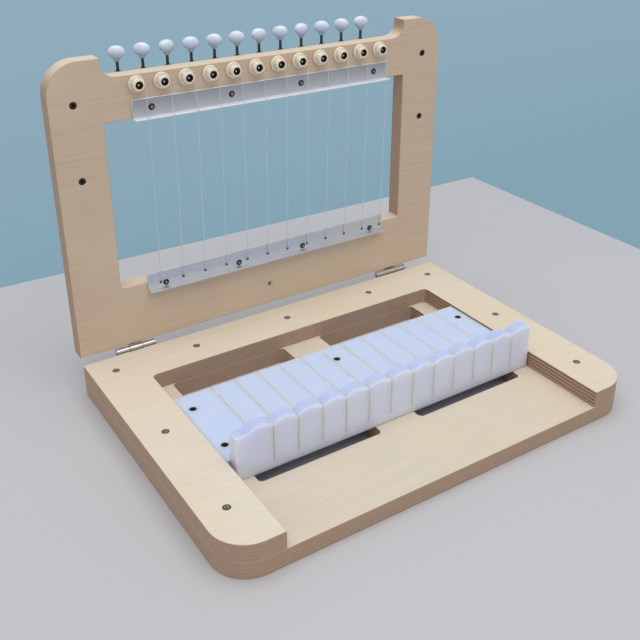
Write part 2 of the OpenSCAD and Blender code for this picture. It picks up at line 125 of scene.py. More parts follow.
def new_material(name, **shader_settings):
    """A material with an empty recipe: its tree, its main shader and its place in millimetres."""
    made = bpy.data.materials.new(name)
    made.use_nodes = True
    tree = made.node_tree
    shader = tree.nodes["Principled BSDF"]
    for key, value in shader_settings.items():
        shader.inputs[key.replace("_", " ")].default_value = value
    place = add(tree, "TexCoord", out="Object")
    return made, tree, shader, add(tree, "VectorMath", {0: place, 1: [1 / MM] * 3}, operation="MULTIPLY")


def dress(tree, shader, colour, relief, strength, distance):
    """A recipe's last step: colour into the shader, and relief into its normals; distance is in metres."""
    tree.links.new(colour, shader.inputs["Base Color"])
    bump = add(tree, "Bump", {"Height": relief, "Strength": strength, "Distance": distance})
    tree.links.new(bump, shader.inputs["Normal"])


print("white paper in linear light:", [round(c, 3) for c in linear("#F2F0EA")])

# %% [markdown]
# ## Birch plywood
# The boards are 15 mm class birch plywood, cut by a router and eased with sandpaper. On a face you see the
# outer veneer: pale, with a long faint grain. On a cut edge you see the plies one after another, every other
# one as end grain, which is darker, parted by thin lines of brown glue. The cut is slightly burnished, so
# the edge is browner than the face. Nine plies share the thickness, each about 1.7 mm.
# A float called cut, stored on each board's points, says where the saw has been.


# %% Plywood material
PLIES = 9


def birch_plywood(name, axis, start, face, shade, tear_and_shade):
    """Veneer on the faces and plies on the cut edges.

    Axis is the thickness direction and start its first face. The last argument says how much darker the
    sideways cut edges at the right are: partly torn plies, partly painted shade.
    """
    made, tree, shader, place = new_material(name, Roughness=0.58, Specular_IOR_Level=0.3)
    grain_place = add(tree, "Mapping", {"Vector": place, "Scale": (0.012, 0.33, 0.33)})
    grain = add(tree, "TexNoise", {"Vector": grain_place, "Scale": 1.0, "Detail": 6.0, "Roughness": 0.62})
    pore_place = add(tree, "Mapping", {"Vector": place, "Scale": (0.09, 1.9, 1.9)})
    pores = add(tree, "TexNoise", {"Vector": pore_place, "Scale": 1.0, "Detail": 2.0})
    cloud = add(tree, "TexNoise", {"Vector": place, "Scale": 0.009, "Detail": 2.0})
    pale = add(tree, "MapRange", {0: grain, 1: 0.3, 2: 0.62})
    veneer = add(tree, "Mix", {0: pale, 6: shade, 7: face}, **BLEND)
    dark_pore = add(tree, "MapRange", {0: pores, 1: 0.62, 2: 0.78, 4: 0.22})
    veneer_pored = add(tree, "Mix", {0: dark_pore, 6: veneer, 7: shade}, **BLEND)
    warm = add(tree, "MapRange", {0: cloud, 1: 0.35, 2: 0.7, 4: 0.45})
    veneer_done = add(tree, "Mix", {0: warm, 6: veneer_pored, 7: "#DFCDB0"}, **BLEND)

    # The plies: depth in plies, wavering a little along the edge, as rolled veneers do
    parts = add(tree, "SeparateXYZ", {0: place}, out=None).outputs
    depth = add(tree, "Math", {0: parts[axis], 1: start}, operation="SUBTRACT")
    waver = add(tree, "TexNoise", {"Vector": place, "Scale": 0.05, "Detail": 3.0})
    plies = add(tree, "Math", {0: depth, 1: PLIES / PLY, 2: waver}, operation="MULTIPLY_ADD")
    whole = add(tree, "Math", {0: plies}, operation="FLOOR")
    odd = add(tree, "Math", {0: whole, 1: 2.0}, operation="FLOORED_MODULO")
    within = add(tree, "Math", {0: plies}, operation="FRACT")
    off_middle = add(tree, "Math", {0: within, 1: 0.5}, operation="SUBTRACT")
    off_middle = add(tree, "Math", {0: off_middle}, operation="ABSOLUTE")
    facing = add(tree, "TexCoord", out="Normal")
    facing = add(tree, "SeparateXYZ", {0: facing}, out=None).outputs
    facing_x = add(tree, "Math", {0: facing[0]}, operation="ABSOLUTE")
    sideways = add(tree, "MapRange", {0: facing_x, 1: 0.6, 2: 0.8})
    # On the sideways cut edges at the right, plies and glue lines stand out more where the saw tore the
    # grain, and their darker colour is also painted shade
    right_end = add(tree, "MapRange", {0: parts[0], 1: 60.0, 2: 120.0, 4: tear_and_shade})
    torn_and_shaded = add(tree, "Math", {0: sideways, 1: right_end}, operation="MULTIPLY")
    glue_most = add(tree, "MapRange", {0: torn_and_shaded, 3: 0.3, 4: 0.85})
    glue = add(tree, "MapRange", {0: off_middle, 1: 0.34, 2: 0.46, 4: glue_most})
    # A ply shows end grain on the ends of the board and long grain on its sides, or the other way round
    swap = add(tree, "Math", {0: odd, 1: sideways}, operation="SUBTRACT")
    end_grain = add(tree, "Math", {0: swap}, operation="ABSOLUTE")
    end_colour = add(tree, "Mix", {0: torn_and_shaded, 6: "#B79B84", 7: "#8E6F5B"}, **BLEND)
    ply_colour = add(tree, "Mix", {0: end_grain, 6: "#BDA28B", 7: end_colour}, **BLEND)
    streak = add(tree, "TexNoise", {"Vector": place, "Scale": 0.2, "Detail": 5.0, "Roughness": 0.7})
    burnish = add(tree, "MapRange", {0: streak, 1: 0.35, 2: 0.75, 4: 0.4})
    ply_burnished = add(tree, "Mix", {0: burnish, 6: ply_colour, 7: "#A08370"}, **BLEND)
    edge_glued = add(tree, "Mix", {0: glue, 6: ply_burnished, 7: "#85695A"}, **BLEND)
    # Cut edges that face up are painted paler: painted light, as from the lamp above
    painted_top_shading = add(tree, "MapRange", {0: facing[2], 1: 0.3, 2: 0.9, 4: 0.8})
    edge_done = add(tree, "Mix", {0: painted_top_shading, 6: edge_glued, 7: "#E4D5BF"}, **BLEND)
    cut = add(tree, "Attribute", out="Fac", attribute_name="cut")
    colour = add(tree, "Mix", {0: cut, 6: veneer_done, 7: edge_done}, **BLEND)
    relief = add(tree, "Mix", {0: cut, 2: grain, 3: streak}, data_type="FLOAT")
    dress(tree, shader, colour, relief, 0.12, 0.0006)
    return made


plywood_lower = birch_plywood("birch_plywood_board", 2, 0.0, "#D8CEBF", "#D0C5B2", 1.0)
plywood_upper = birch_plywood("birch_plywood_rim", 2, PLY, "#E2D8C8", "#DBD0BD", 1.0)
plywood_upright = birch_plywood("birch_plywood_frame", 1, FACE_Y, "#D3BDA5", "#CAB299", 0.4)
print("one ply is", round(PLY / PLIES, 2), "mm")

# %% [markdown]
# ## White polyethylene
# The cutting plate and the fence are milled from white high-density polyethylene, the stuff of kitchen
# boards. It is slightly waxy: light enters a little way and comes out again, so it gets some subsurface, and
# the cutter leaves a faint brushed relief. The top faces get a third colour: on the fence a painted shade
# that darkens its lit tops, and on the plate about its own tone. The slots' walls are painted near white:
# painted light inside the narrow slots.
# The slots repeat at one pitch, so a ping-pong of x folds them all onto the first, and one test finds them.

# %% Polyethylene material
def polyethylene(name, low, high, top):
    """Milled white polyethylene: its tone drifts between two colours, and top faces take the third, which
    paints shade on the fence's tops.
    """
    made, tree, shader, place = new_material(
        name,
        Roughness=0.52,
        Specular_IOR_Level=0.3,
        IOR=1.51,
        Subsurface_Weight=1.0,
        Subsurface_Radius=(0.008, 0.008, 0.009),
        Subsurface_Scale=1.0,
    )
    cloudy = add(tree, "TexNoise", {"Vector": place, "Scale": 0.03, "Detail": 3.0})
    white = add(tree, "Mix", {0: cloudy, 6: low, 7: high}, **BLEND)
    # Faces that look up are mixed towards the third colour: painted shade on the fence's lit tops
    facing = add(tree, "TexCoord", out="Normal")
    painted_top_shading = add(tree, "SeparateXYZ", {0: facing}, out=2)
    painted_top_shading = add(tree, "MapRange", {0: painted_top_shading, 1: 0.2, 2: 0.9})
    with_painted_top_shading = add(tree, "Mix", {0: painted_top_shading, 6: white, 7: top}, **BLEND)
    # The slots' walls are painted near white: painted light that lifts the shade inside the narrow slots
    parts = add(tree, "SeparateXYZ", {0: place}, out=None).outputs
    from_first = add(tree, "Math", {0: parts[0], 1: -float(WIRE_X[0])}, operation="ADD")
    from_first = add(tree, "Math", {0: from_first, 1: -PITCH / 2}, operation="MAXIMUM")
    off_wire = add(tree, "Math", {0: from_first, 1: PITCH / 2}, operation="PINGPONG")
    near = add(tree, "Math", {0: off_wire, 1: SLOT + 0.02}, operation="LESS_THAN")
    above_foot = add(tree, "Math", {0: parts[2], 1: SLOT_FOOT}, operation="GREATER_THAN")
    in_slot = add(tree, "Math", {0: near, 1: above_foot}, operation="MULTIPLY")
    slot_painted_light = add(tree, "Mix", {0: in_slot, 6: with_painted_top_shading, 7: "#FCFDFF"}, **BLEND)
    mill_place = add(tree, "Mapping", {"Vector": place, "Scale": (0.06, 1.4, 0.5)})
    marks = add(tree, "TexNoise", {"Vector": mill_place, "Scale": 1.0, "Detail": 2.0})
    dress(tree, shader, slot_painted_light, marks, 0.06, 0.0004)
    return made


# The third colour of each is for the top faces; the fence's darker one is painted shade
plate_white = polyethylene("milled_white_polyethylene", "#C3D4F2", "#CFDDF6", "#C8D6FC")
fence_white = polyethylene("scraped_white_polyethylene", "#DAE0FA", "#E2E6FC", "#BCC8EA")
print("polyethylene made")

# %% [markdown]
# ## Metals
# The slicer mixes extruded aluminium for the angles, drawn stainless wire, plated, blackened and blued steel
# for screws, hinges and shafts, and brass for the tuners. What tells them apart is the colour of the
# reflection and the direction of the marks, so one recipe takes a colour pair, a roughness pair and how far
# the marks are stretched. Shade is painted in dark where a float called recess says so, as in a screw's
# pressed cross, and a highlight is painted in bright where a second float says so.


# %% Metal material
def metal(name, bright, dull, smooth, rough, stretch, relief, bare=1.0):
    """A metal whose colour and roughness vary with a noise stretched by three factors, in marks per mm.

    Bare is 1 for clean metal and less under a milky skin of oxide.
    """
    made, tree, shader, place = new_material(name, Metallic=bare)
    mark_place = add(tree, "Mapping", {"Vector": place, "Scale": stretch})
    marks = add(tree, "TexNoise", {"Vector": mark_place, "Scale": 1.0, "Detail": 4.0})
    colour = add(tree, "Mix", {0: marks, 6: dull, 7: bright}, **BLEND)
    # Painted shade: points marked by the recess float are painted near black
    recess = add(tree, "Attribute", out="Fac", attribute_name="recess")
    colour_with_painted_shade = add(tree, "Mix", {0: recess, 6: colour, 7: "#1D1A18"}, **BLEND)
    # Painted highlight: points marked by this float are painted near white
    painted_highlight = add(tree, "Attribute", out="Fac", attribute_name="painted_highlight")
    colour_with_painted_highlight = add(tree, "Mix", {0: painted_highlight, 6: colour_with_painted_shade, 7: "#F1F5FB"}, **BLEND)
    roughness = add(tree, "MapRange", {0: marks, 1: 0.3, 2: 0.7, 3: smooth, 4: rough})
    tree.links.new(roughness, shader.inputs["Roughness"])
    dress(tree, shader, colour_with_painted_highlight, marks, relief, 0.0002)
    return made


# Marks per mm along X, Y and Z: long ones along an extruded angle, and even ones on a plated part
DRAWN, PLATED = (0.05, 2.2, 2.2), (0.9, 0.9, 0.9)
brushed_aluminium = metal("brushed_aluminium", "#E2E3E6", "#CFD1D4", 0.42, 0.58, DRAWN, 0.10)
anodised_aluminium = metal("satin_anodised_aluminium", "#ADAFB4", "#9C9EA4", 0.40, 0.55, DRAWN, 0.10, 0.4)
wire_steel = metal("drawn_stainless_wire", "#E6EBF0", "#D3DAE2", 0.25, 0.38, (1.0, 1.0, 0.05), 0.02, 0.6)
zinc_steel = metal("zinc_plated_steel", "#D8D4CC", "#A9A49B", 0.25, 0.45, PLATED, 0.08)
hinge_steel = metal("pressed_hinge_steel", "#E4E1DA", "#B6B2AA", 0.22, 0.40, (0.15, 1.2, 1.2), 0.08)
sill_steel = metal("yellow_zinc_steel", "#E9D3B2", "#D6BD99", 0.45, 0.60, PLATED, 0.08)
dark_steel = metal("black_phosphate_steel", "#5A5652", "#2C2927", 0.35, 0.55, (1.1, 1.1, 1.1), 0.12)
shaft_steel = metal("blued_tuner_shaft", "#575B62", "#36393F", 0.25, 0.42, (1.2, 1.2, 0.2), 0.05)
gear_brass = metal("cut_brass", "#D9B978", "#A98748", 0.28, 0.44, (0.6, 2.0, 0.6), 0.08)
bracket_brass = metal("pressed_brass", "#CDB57E", "#9C824C", 0.32, 0.50, (0.4, 0.9, 0.4), 0.08)
print("ten metals made")

# %% [markdown]
# ## Cream rollers and pearl buttons
# The rollers are turned from a cream plastic that copies bone, with fine turning lines round them. The
# buttons are moulded pearl plastic, milky white with soft swirls. Low down they are painted lavender blue:
# painted shade, and a painted reflection of the blue wall.

# %% Plastics
cream, tree, shader, place = new_material(
    "turned_cream_plastic",
    Roughness=0.36,
    IOR=1.49,
    Subsurface_Weight=0.08,
    Subsurface_Radius=(0.003, 0.002, 0.0012),
)
bone_place = add(tree, "Mapping", {"Vector": place, "Scale": (0.25, 1.6, 0.25)})
bone = add(tree, "TexNoise", {"Vector": bone_place, "Scale": 1.0, "Detail": 3.0})
bone_colour = add(tree, "Mix", {0: bone, 6: "#E3D2B4", 7: "#F4EBD8"}, **BLEND)
# Painted shade: points marked by the recess float, in the rollers' mouths, are painted dark brown
recess = add(tree, "Attribute", out="Fac", attribute_name="recess")
bone_with_painted_shade = add(tree, "Mix", {0: recess, 6: bone_colour, 7: "#4E3B2D"}, **BLEND)
dress(tree, shader, bone_with_painted_shade, bone, 0.08, 0.0003)

pearl, tree, shader, place = new_material(
    "moulded_pearl_plastic",
    Roughness=0.22,
    IOR=1.53,
    Coat_Weight=0.5,
    Coat_Roughness=0.08,
    Subsurface_Weight=0.1,
    Subsurface_Radius=(0.003, 0.003, 0.004),
)
swirl = add(tree, "TexNoise", {"Vector": place, "Scale": 0.22, "Detail": 3.0, "Distortion": 1.6})
milky = add(tree, "Mix", {0: swirl, 6: "#D6E2F0", 7: "#E9F1F8"}, **BLEND)
# Low down the button is painted lavender blue: painted shade and a painted reflection of the blue wall
height = add(tree, "Attribute", out="Fac", attribute_name="height")
painted_low_shade = add(tree, "Mix", {0: height, 6: "#9BADCF", 7: milky}, **BLEND)
dress(tree, shader, painted_low_shade, swirl, 0.04, 0.0004)
print("two plastics made")

# %% [markdown]
# ## From arrays to pieces
# Every new piece is worked out as arrays of points in millimetres and lists of faces, called a shell here.
# One function turns shells into a Blender mesh: it welds the seams, points the faces outward, keeps true
# corners sharp and lets the rest shade smoothly, and rides the piece on its CAD body.


# %% The piece maker
WELD = 0.002 * MM
add_to_scene = bpy.context.scene.collection.objects.link


def build(name, shells, material, body, slot, stands_for=None, sharp=35, values=None):
    """One object from shells of (points in mm, faces); material is one, or a list with one for each shell.

    Sharp is the angle in degrees from which a corner stays hard. Values is the name of a float on the points
    and an array of it for each shell.
    """
    points = np.concatenate([s[0] for s in shells]) * MM
    finishes = material if isinstance(material, list) else [material] * len(shells)
    kinds = list(dict.fromkeys(finishes))
    faces, kind, first = [], [], 0
    for shell, finish in zip(shells, finishes):
        faces += [tuple(int(i) + first for i in face) for face in shell[1]]
        kind += [kinds.index(finish)] * len(shell[1])
        first += len(shell[0])
    mesh = bpy.data.meshes.new(name)
    mesh.from_pydata(points, [], faces)
    mesh.polygons.foreach_set("material_index", kind)
    if values:
        floats = mesh.attributes.new(values[0], "FLOAT", "POINT")
        floats.data.foreach_set("value", np.concatenate(values[1]).astype(np.float32))
    work = bmesh.new()
    work.from_mesh(mesh)
    bmesh.ops.remove_doubles(work, verts=work.verts, dist=WELD)
    bmesh.ops.recalc_face_normals(work, faces=work.faces)
    work.to_mesh(mesh)
    work.free()
    mesh.shade_smooth()
    mesh.set_sharp_from_angle(angle=math.radians(sharp))
    for finish in kinds:
        mesh.materials.append(finish)
    piece = bpy.data.objects.new(name, mesh)
    add_to_scene(piece)
    normals = piece.modifiers.new("weighted_normals", "WEIGHTED_NORMAL")
    normals.keep_sharp = True
    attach(piece, body)
    if stands_for:
        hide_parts(stands_for)


def moved(shell, matrix):
    """The shell after a 4 by 4 matrix."""
    m = np.array(matrix)
    return shell[0] @ m[:3, :3].T + m[:3, 3], shell[1]


def quads(rows, columns):
    """Faces of a tube whose rings of points are stored one after another, each ring closed on itself."""
    r = np.arange(rows - 1)[:, None] * columns
    c = np.arange(columns)[None, :]
    c2 = (c + 1) % columns
    return np.stack([r + c, r + c2, r + columns + c2, r + columns + c], -1).reshape(-1, 4).tolist()


print("a tube of 3 rings of 4 points has", len(quads(3, 4)), "faces")

# %% [markdown]
# ## Boards with eased edges
# Plywood boards, metal plates and gears are all flat stock with an outline. Real stock never has razor
# edges, so each outline is carried through the thickness by a profile whose corners are rounded: the
# outline is drawn back by a small inset at both faces. Holes are outlines too, with a profile of their own.


# %% Board maker
def area(loop):
    """Signed area of a closed outline, positive when it runs counterclockwise (the shoelace sum)."""
    after = np.roll(loop, -1, 0)
    return 0.5 * float(np.sum(loop[:, 0] * after[:, 1] - after[:, 0] * loop[:, 1]))


def drawn_back(loop, inset, share=1.0):
    """The outline with each edge moved to its left by inset times the edge's share, so corners stay corners.

    A corner moves by n1 (d1 - c d2) + n2 (d2 - c d1), over 1 - c squared. Here n1 and n2 are the normals of
    the edges that meet there, d1 and d2 their insets, and c is the product of the normals. Where the edges
    run on almost straight, it moves along the sum of the normals.
    """
    after = np.roll(loop, -1, 0) - loop
    normal = np.stack([-after[:, 1], after[:, 0]], 1) / np.linalg.norm(after, axis=1)[:, None]
    moved_by = inset * share * np.ones(len(loop))
    n1, n2, d1, d2 = np.roll(normal, 1, 0), normal, np.roll(moved_by, 1), moved_by
    c = np.sum(n1 * n2, 1)
    bend = np.maximum(1 - c**2, 1e-9)[:, None]
    corner = (n1 * (d1 - c * d2)[:, None] + n2 * (d2 - c * d1)[:, None]) / bend
    straight = (n1 + n2) * (0.5 * (d1 + d2) / np.maximum(1 + c, 1e-9))[:, None]
    return loop + np.where((c > 0.98)[:, None], straight, corner)


def eased(thickness, ease, steps=3):
    """Rows of (inset, depth): a quarter round at each face and a straight side between them."""
    turn = np.linspace(0, math.pi / 2, steps + 1)
    near = np.stack([ease * (1 - np.sin(turn)), ease * (1 - np.cos(turn))], 1)
    far = np.stack([near[::-1, 0], thickness - near[::-1, 1]], 1)
    return np.concatenate([near, far])


def board(outline, rows, to_space, holes=(), share=1.0):
    """Flat stock: each outline swept through its rows, and both faces filled. A hole is (loop, rows, blind).

    Share says how much of the easing each edge of the outline gets.
    """
    loops = [(np.array(outline, float), np.array(rows, float), False)]
    loops += [(np.array(a, float), np.array(b, float), c) for a, b, c in holes]
    points, faces, cut, tops, bottoms, first = [], [], [], [], [], 0
    for k, (loop, loop_rows, blind) in enumerate(loops):
        if (area(loop) > 0) != (k == 0):
            loop = loop[::-1]
        n = len(loop)
        edge_share = share if k == 0 else 1.0
        for inset, depth in loop_rows:
            flat = drawn_back(loop, inset, edge_share)
            points.append(to_space(flat[:, 0], flat[:, 1], np.full(n, depth)))
        faces += (np.array(quads(len(loop_rows), n)) + first).tolist()
        last = first + (len(loop_rows) - 1) * n
        mark = np.ones((len(loop_rows), n))
        mark[0] = 0
        if not blind:
            mark[-1] = 0
        cut.append(mark.ravel())
        tops.append((drawn_back(loop, loop_rows[0][0], edge_share), np.arange(first, first + n)))
        if blind:
            faces.append(list(range(last, last + n)))
        else:
            bottoms.append((drawn_back(loop, loop_rows[-1][0], edge_share), np.arange(last, last + n)))
        first += len(loop_rows) * n
    for side in (tops, bottoms):
        flats, rings = zip(*side)
        index = np.concatenate(rings)
        lines = [[Vector((float(x), float(y), 0)) for x, y in flat] for flat in flats]
        faces += [[index[i] for i in triangle] for triangle in tessellate_polygon(lines)]
    return (np.concatenate(points), faces), np.concatenate(cut)


def arc(cx, cy, radius, start, end, steps):
    """Points on a circle from one angle to another, in degrees."""
    a = np.radians(np.linspace(start, end, steps + 1))
    return np.stack([cx + radius * np.cos(a), cy + radius * np.sin(a)], 1)


def circle(cx, cy, radius, steps=32):
    """A closed circle."""
    return arc(cx, cy, radius, 0, 360, steps)[:-1]


def rounded(x0, y0, x1, y1, r, steps=6):
    """A rectangle with four rounded corners."""
    corners = [(x1 - r, y1 - r, 0), (x0 + r, y1 - r, 90), (x0 + r, y0 + r, 180), (x1 - r, y0 + r, 270)]
    return np.concatenate([arc(x, y, r, a, a + 90, steps) for x, y, a in corners])


def lying(top):
    """A board that lies flat: drawn in X and Y, with depth downward from its top."""
    return lambda u, v, depth: np.stack([u, v, top - depth], 1)


def standing(front, up=0.0, back=1):
    """A board that stands upright: drawn in X and height, with depth backward, or forward if back is -1."""
    return lambda u, v, depth: np.stack([u, front + back * depth, v + up], 1)


def bore(x, y, radius, depth, steps=16, blind=False):
    """A plain round hole for a board."""
    return circle(x, y, radius, steps), [(0, 0), (0, depth)], blind


# A screw's hole: its radius, and rows of inset and depth
HOLE_R, COUNTERSINK = 3.3, [(0.15, 0.0), (0.0, 0.15), (0.0, 0.3), (-1.7, 2.0), (-1.7, 9.0)]
print("an eased edge has", len(eased(PLY, 0.6)), "rows")

# %% [markdown]
# ## The two layers of the base
# The lower board carries everything. Two openings let the plate's underside breathe and take the lower
# angle when the frame is shut. The upper layer is a U-shaped rim, screwed on with nine screws. Both are cut
# to one outline, square at the hinge and rounded in front. The edges are eased by 0.5 mm.

# %% Base boards
EASE, FRONT_R = 0.5, 30.0
RIM_X, RIM_Y, RIM_R = 154.5, float(rim_high[1]) - 48.2, 5
OPENING_IN, OPENING_OUT, OPENING_FRONT, OPENING_R = 20.3, 136.0, -69.0, 4.0
x_end, y_end = float(board_high[0]), float(board_high[1])
front_left = [[[-x_end, y_end]], arc(FRONT_R - x_end, FRONT_R - y_end, FRONT_R, 180, 270, 20)]
front_right = [arc(x_end - FRONT_R, FRONT_R - y_end, FRONT_R, 270, 360, 20), [[x_end, y_end]]]
right = rounded(OPENING_IN, OPENING_FRONT, OPENING_OUT, RIM_Y, OPENING_R)
left = rounded(-OPENING_OUT, OPENING_FRONT, -OPENING_IN, RIM_Y, OPENING_R)
openings = [(loop, eased(PLY, EASE), False) for loop in (left, right)]
outline = np.concatenate(front_left + front_right)
shell, cut = board(outline, eased(PLY, EASE), lying(PLY), openings)
build("lower_board", [shell], plywood_lower, "base", "plywood", "base_board", values=("cut", [cut]))

inner_edge = [[[-RIM_X, -y_end]], arc(RIM_R - RIM_X, RIM_Y - RIM_R, RIM_R, 180, 90, 8)]
inner_edge += [arc(RIM_X - RIM_R, RIM_Y - RIM_R, RIM_R, 90, 0, 8), [[RIM_X, -y_end]]]
rim_outline = np.concatenate(front_left + inner_edge + front_right)
RIM_SCREWS = [(-178, -96), (-178, 10), (-178, 117), (-99, 117), (0, 117), (99, 117), (178, 117)]
RIM_SCREWS += [(178, 10), (178, -96)]
rim_holes = [(circle(x, y, HOLE_R), COUNTERSINK, True) for x, y in RIM_SCREWS]
shell, cut = board(rim_outline, eased(PLY, EASE), lying(RIM_TOP), rim_holes)
build("upper_rim", [shell], plywood_upper, "base", "plywood", "base_rim", values=("cut", [cut]))
print("rim:", len(shell[0]), "points")

# %% [markdown]
# ## The wire frame's panel
# The panel is one board too, seen standing. Its two ears rise beside the top rail and protect the buttons.
# The window is where the block passes. Twelve bores carry the rollers, five screws are sunk in the face, and
# twelve small holes anchor the wires.

# %% Frame panel
HALF = float(panel_high[0])
PANEL_H = float(panel_high[2] - panel_low[2])
EAR_X, EAR_R, FILLET = HALF - 46.0, 28.0, 13.0
RAIL_H, SILL_H, HEAD_H, JAMB_X, WINDOW_R = 248.7, 58.0, 211.5, HALF - 44.5, 2.5
panel_outline = np.concatenate(
    [
        [[-HALF, 0.0], [HALF, 0.0]],
        arc(HALF - EAR_R, PANEL_H - EAR_R, EAR_R, 0, 90, 18),
        [[EAR_X, PANEL_H]],
        arc(EAR_X - FILLET, RAIL_H + FILLET, FILLET, 0, -90, 10),
        arc(FILLET - EAR_X, RAIL_H + FILLET, FILLET, 270, 180, 10),
        [[-EAR_X, PANEL_H]],
        arc(EAR_R - HALF, PANEL_H - EAR_R, EAR_R, 90, 180, 18),
    ]
)
FRAME_SCREWS = [(-179, 230.0), (-179, 165.2), (179, 230.0), (179, 165.2), (-3, 21.4)]
ANCHOR_H, ANCHOR_R, ANCHOR_DEPTH, BORE_R = 55.8, 1.6, 8, 5.5
panel_holes = [(rounded(-JAMB_X, SILL_H, JAMB_X, HEAD_H, WINDOW_R), eased(PLY, EASE), False)]
panel_holes += [(circle(x, SPOOL_Z - FOOT_Z, BORE_R), eased(PLY, 0.3, 2), False) for x in SPOOL_X]
panel_holes += [(circle(x, h, HOLE_R), COUNTERSINK, True) for x, h in FRAME_SCREWS]
panel_holes += [bore(x, ANCHOR_H, ANCHOR_R, ANCHOR_DEPTH, 12, True) for x in WIRE_X]
shell, cut = board(panel_outline, eased(PLY, EASE), standing(FACE_Y, FOOT_Z), panel_holes)
build("frame_board", [shell], plywood_upright, "wire_frame", "plywood", "frame_panel", values=("cut", [cut]))
print("panel:", len(shell[0]), "points,", len(panel_holes), "holes")

# %% [markdown]
# ## Plate and fence, milled with a thin slot for every wire
# Seen from the front, the plate is a comb: a thick bar with twelve narrow slots. The same shape runs
# straight through from front to back, so its outline is drawn once and carried along Y. The plate's six
# screws go down through its top, so three of its lands are left open and closed again with a pierced face.


# %% Pierced faces and the plate
def pierced(corners, centres, rows):
    """A flat face that looks up, with equal round wells: rows are a well's radius and depth, mouth first."""
    steps = 32
    a = np.linspace(0, 2 * math.pi, steps, endpoint=False)
    r, depth = np.array(rows).T[:, :, None]
    well = np.stack([-r * np.sin(a), r * np.cos(a), 0 * a - depth], -1).reshape(-1, 3)
    points, faces, loops, first = [np.array(corners)], [], [np.arange(len(corners))], len(corners)
    for centre in centres:
        points.append(centre + well)
        faces += (np.array(quads(len(rows), steps)) + first).tolist()
        loops.append(np.arange(first, first + steps))
        first += len(well)
        faces.append(list(range(first - steps, first)))
    points, index = np.concatenate(points), np.concatenate(loops)
    faces += [[index[i] for i in t] for t in tessellate_polygon([points[i].tolist() for i in loops])]
    return points, faces


def without_quad(shell, rows, edge, edges):
    """The board shell with the straight part of one outline edge left open, and that part's four corners."""
    middle = (len(rows) // 2 - 1) * edges
    after = (edge + 1) % edges
    gone = [middle + edge, middle + after, middle + edges + after, middle + edges + edge]
    return (shell[0], [f for f in shell[1] if set(f) != set(gone)]), shell[0][gone]


slots = np.stack([WIRE_X + SLOT, WIRE_X + SLOT, WIRE_X - SLOT, WIRE_X - SLOT], 1)[::-1]
plate_top = float(plate_high[2])
depths = np.tile([plate_top, SLOT_FOOT, SLOT_FOOT, plate_top], (WIRES, 1))
right_end = [[plate_low[0], PLY], [plate_high[0], PLY], [plate_high[0], plate_top]]
teeth = np.stack([slots.ravel(), depths.ravel()], 1)
plate_outline = np.concatenate([right_end, teeth, [[plate_low[0], plate_top]]])
plate_rows = eased(plate_high[1] - plate_low[1], 0.4)
shell = board(plate_outline, plate_rows, standing(plate_low[1]))[0]
LANDS_X, LANDS_Y = (-145, 0, 145), (-29.0, 28.5)
WELL = [(HOLE_R, 0.0), (HOLE_R, 0.3), (1.6, 2.0), (1.6, 9.0)]
after = np.roll(plate_outline, -1, 0)
on_top = (plate_outline[:, 1] == plate_top) & (after[:, 1] == plate_top)
patches = []
for x in LANDS_X:
    edge = int(np.flatnonzero(on_top & (after[:, 0] < x) & (x < plate_outline[:, 0]))[0])
    shell, corners = without_quad(shell, plate_rows, edge, len(plate_outline))
    patches.append(pierced(corners, [(x, y, plate_top) for y in LANDS_Y], WELL))
build("slotted_plate", [shell] + patches, plate_white, "base", "white_plastic", "cutting_plate", sharp=30)
print("plate outline has", len(plate_outline), "corners")

# %% [markdown]
# ## The comb fence
# The fence's teeth stand between the wires. Each tooth is arched, and a slot parts it from the next one, so
# a wire is led down into its slot by the two arches beside it. The arch is a flat circle arc: its radius
# follows from half the pitch and the height of the scallop. Left of the first tooth the bar is cut down to
# the foot of the arches, and right of the last wire it runs on at full height. The long top edges are
# rounded by hand with a scraper, so they get more easing than the sawn slots and the foot.

# %% Fence
SCALLOP, CORNER_R, LOW_CORNER_R = 4.4, 4, 2
half = PITCH / 2
arch_r = (half**2 + SCALLOP**2) / (2 * SCALLOP)
fence_left, fence_right, crest = fence_low[0], fence_high[0], fence_high[2]


def arch(left, start, end):
    """A tooth's top from one x down to a lower one: a circle arc that crests half a pitch right of left."""
    x = np.linspace(start, end, 15)
    return np.stack([x, crest - arch_r + np.sqrt(arch_r**2 - (x - left - half) ** 2)], 1)


top = [arc(fence_right - CORNER_R, crest - CORNER_R, CORNER_R, 0, 90, 8)]
top.append(arch(WIRE_X[-1], WIRE_X[-1] + half, WIRE_X[-1] + SLOT))
for i in reversed(range(WIRES)):
    left = WIRE_X[i] - PITCH
    top.append(np.array([[WIRE_X[i] + SLOT, SLOT_FOOT], [WIRE_X[i] - SLOT, SLOT_FOOT]]))
    top.append(arch(left, WIRE_X[i] - SLOT, left + (SLOT if i else 0)))
top.append(arc(fence_left + LOW_CORNER_R, crest - SCALLOP - LOW_CORNER_R, LOW_CORNER_R, 90, 180, 5))
fence_outline = np.concatenate([[[fence_left, PLY], [fence_right, PLY]]] + top)
in_slot = (fence_outline[:, 1] == SLOT_FOOT) | (np.roll(fence_outline[:, 1], -1) == SLOT_FOOT)
# How much of the easing each kind of edge gets
SCRAPED, SAWN, ENDS = 1.0, 0.15, 0.3
share = np.where(in_slot, SAWN, SCRAPED)
share[[0, 1, -1]] = SAWN, ENDS, ENDS
fence_rows = eased(fence_high[1] - fence_low[1], 1.3, 4)
shell = board(fence_outline, fence_rows, standing(fence_low[1]), share=share)[0]
build("toothed_fence", [shell], fence_white, "base", "white_plastic", "comb_fence", sharp=40)
print("fence outline has", len(fence_outline), "corners; arch radius", round(arch_r, 2), "mm")

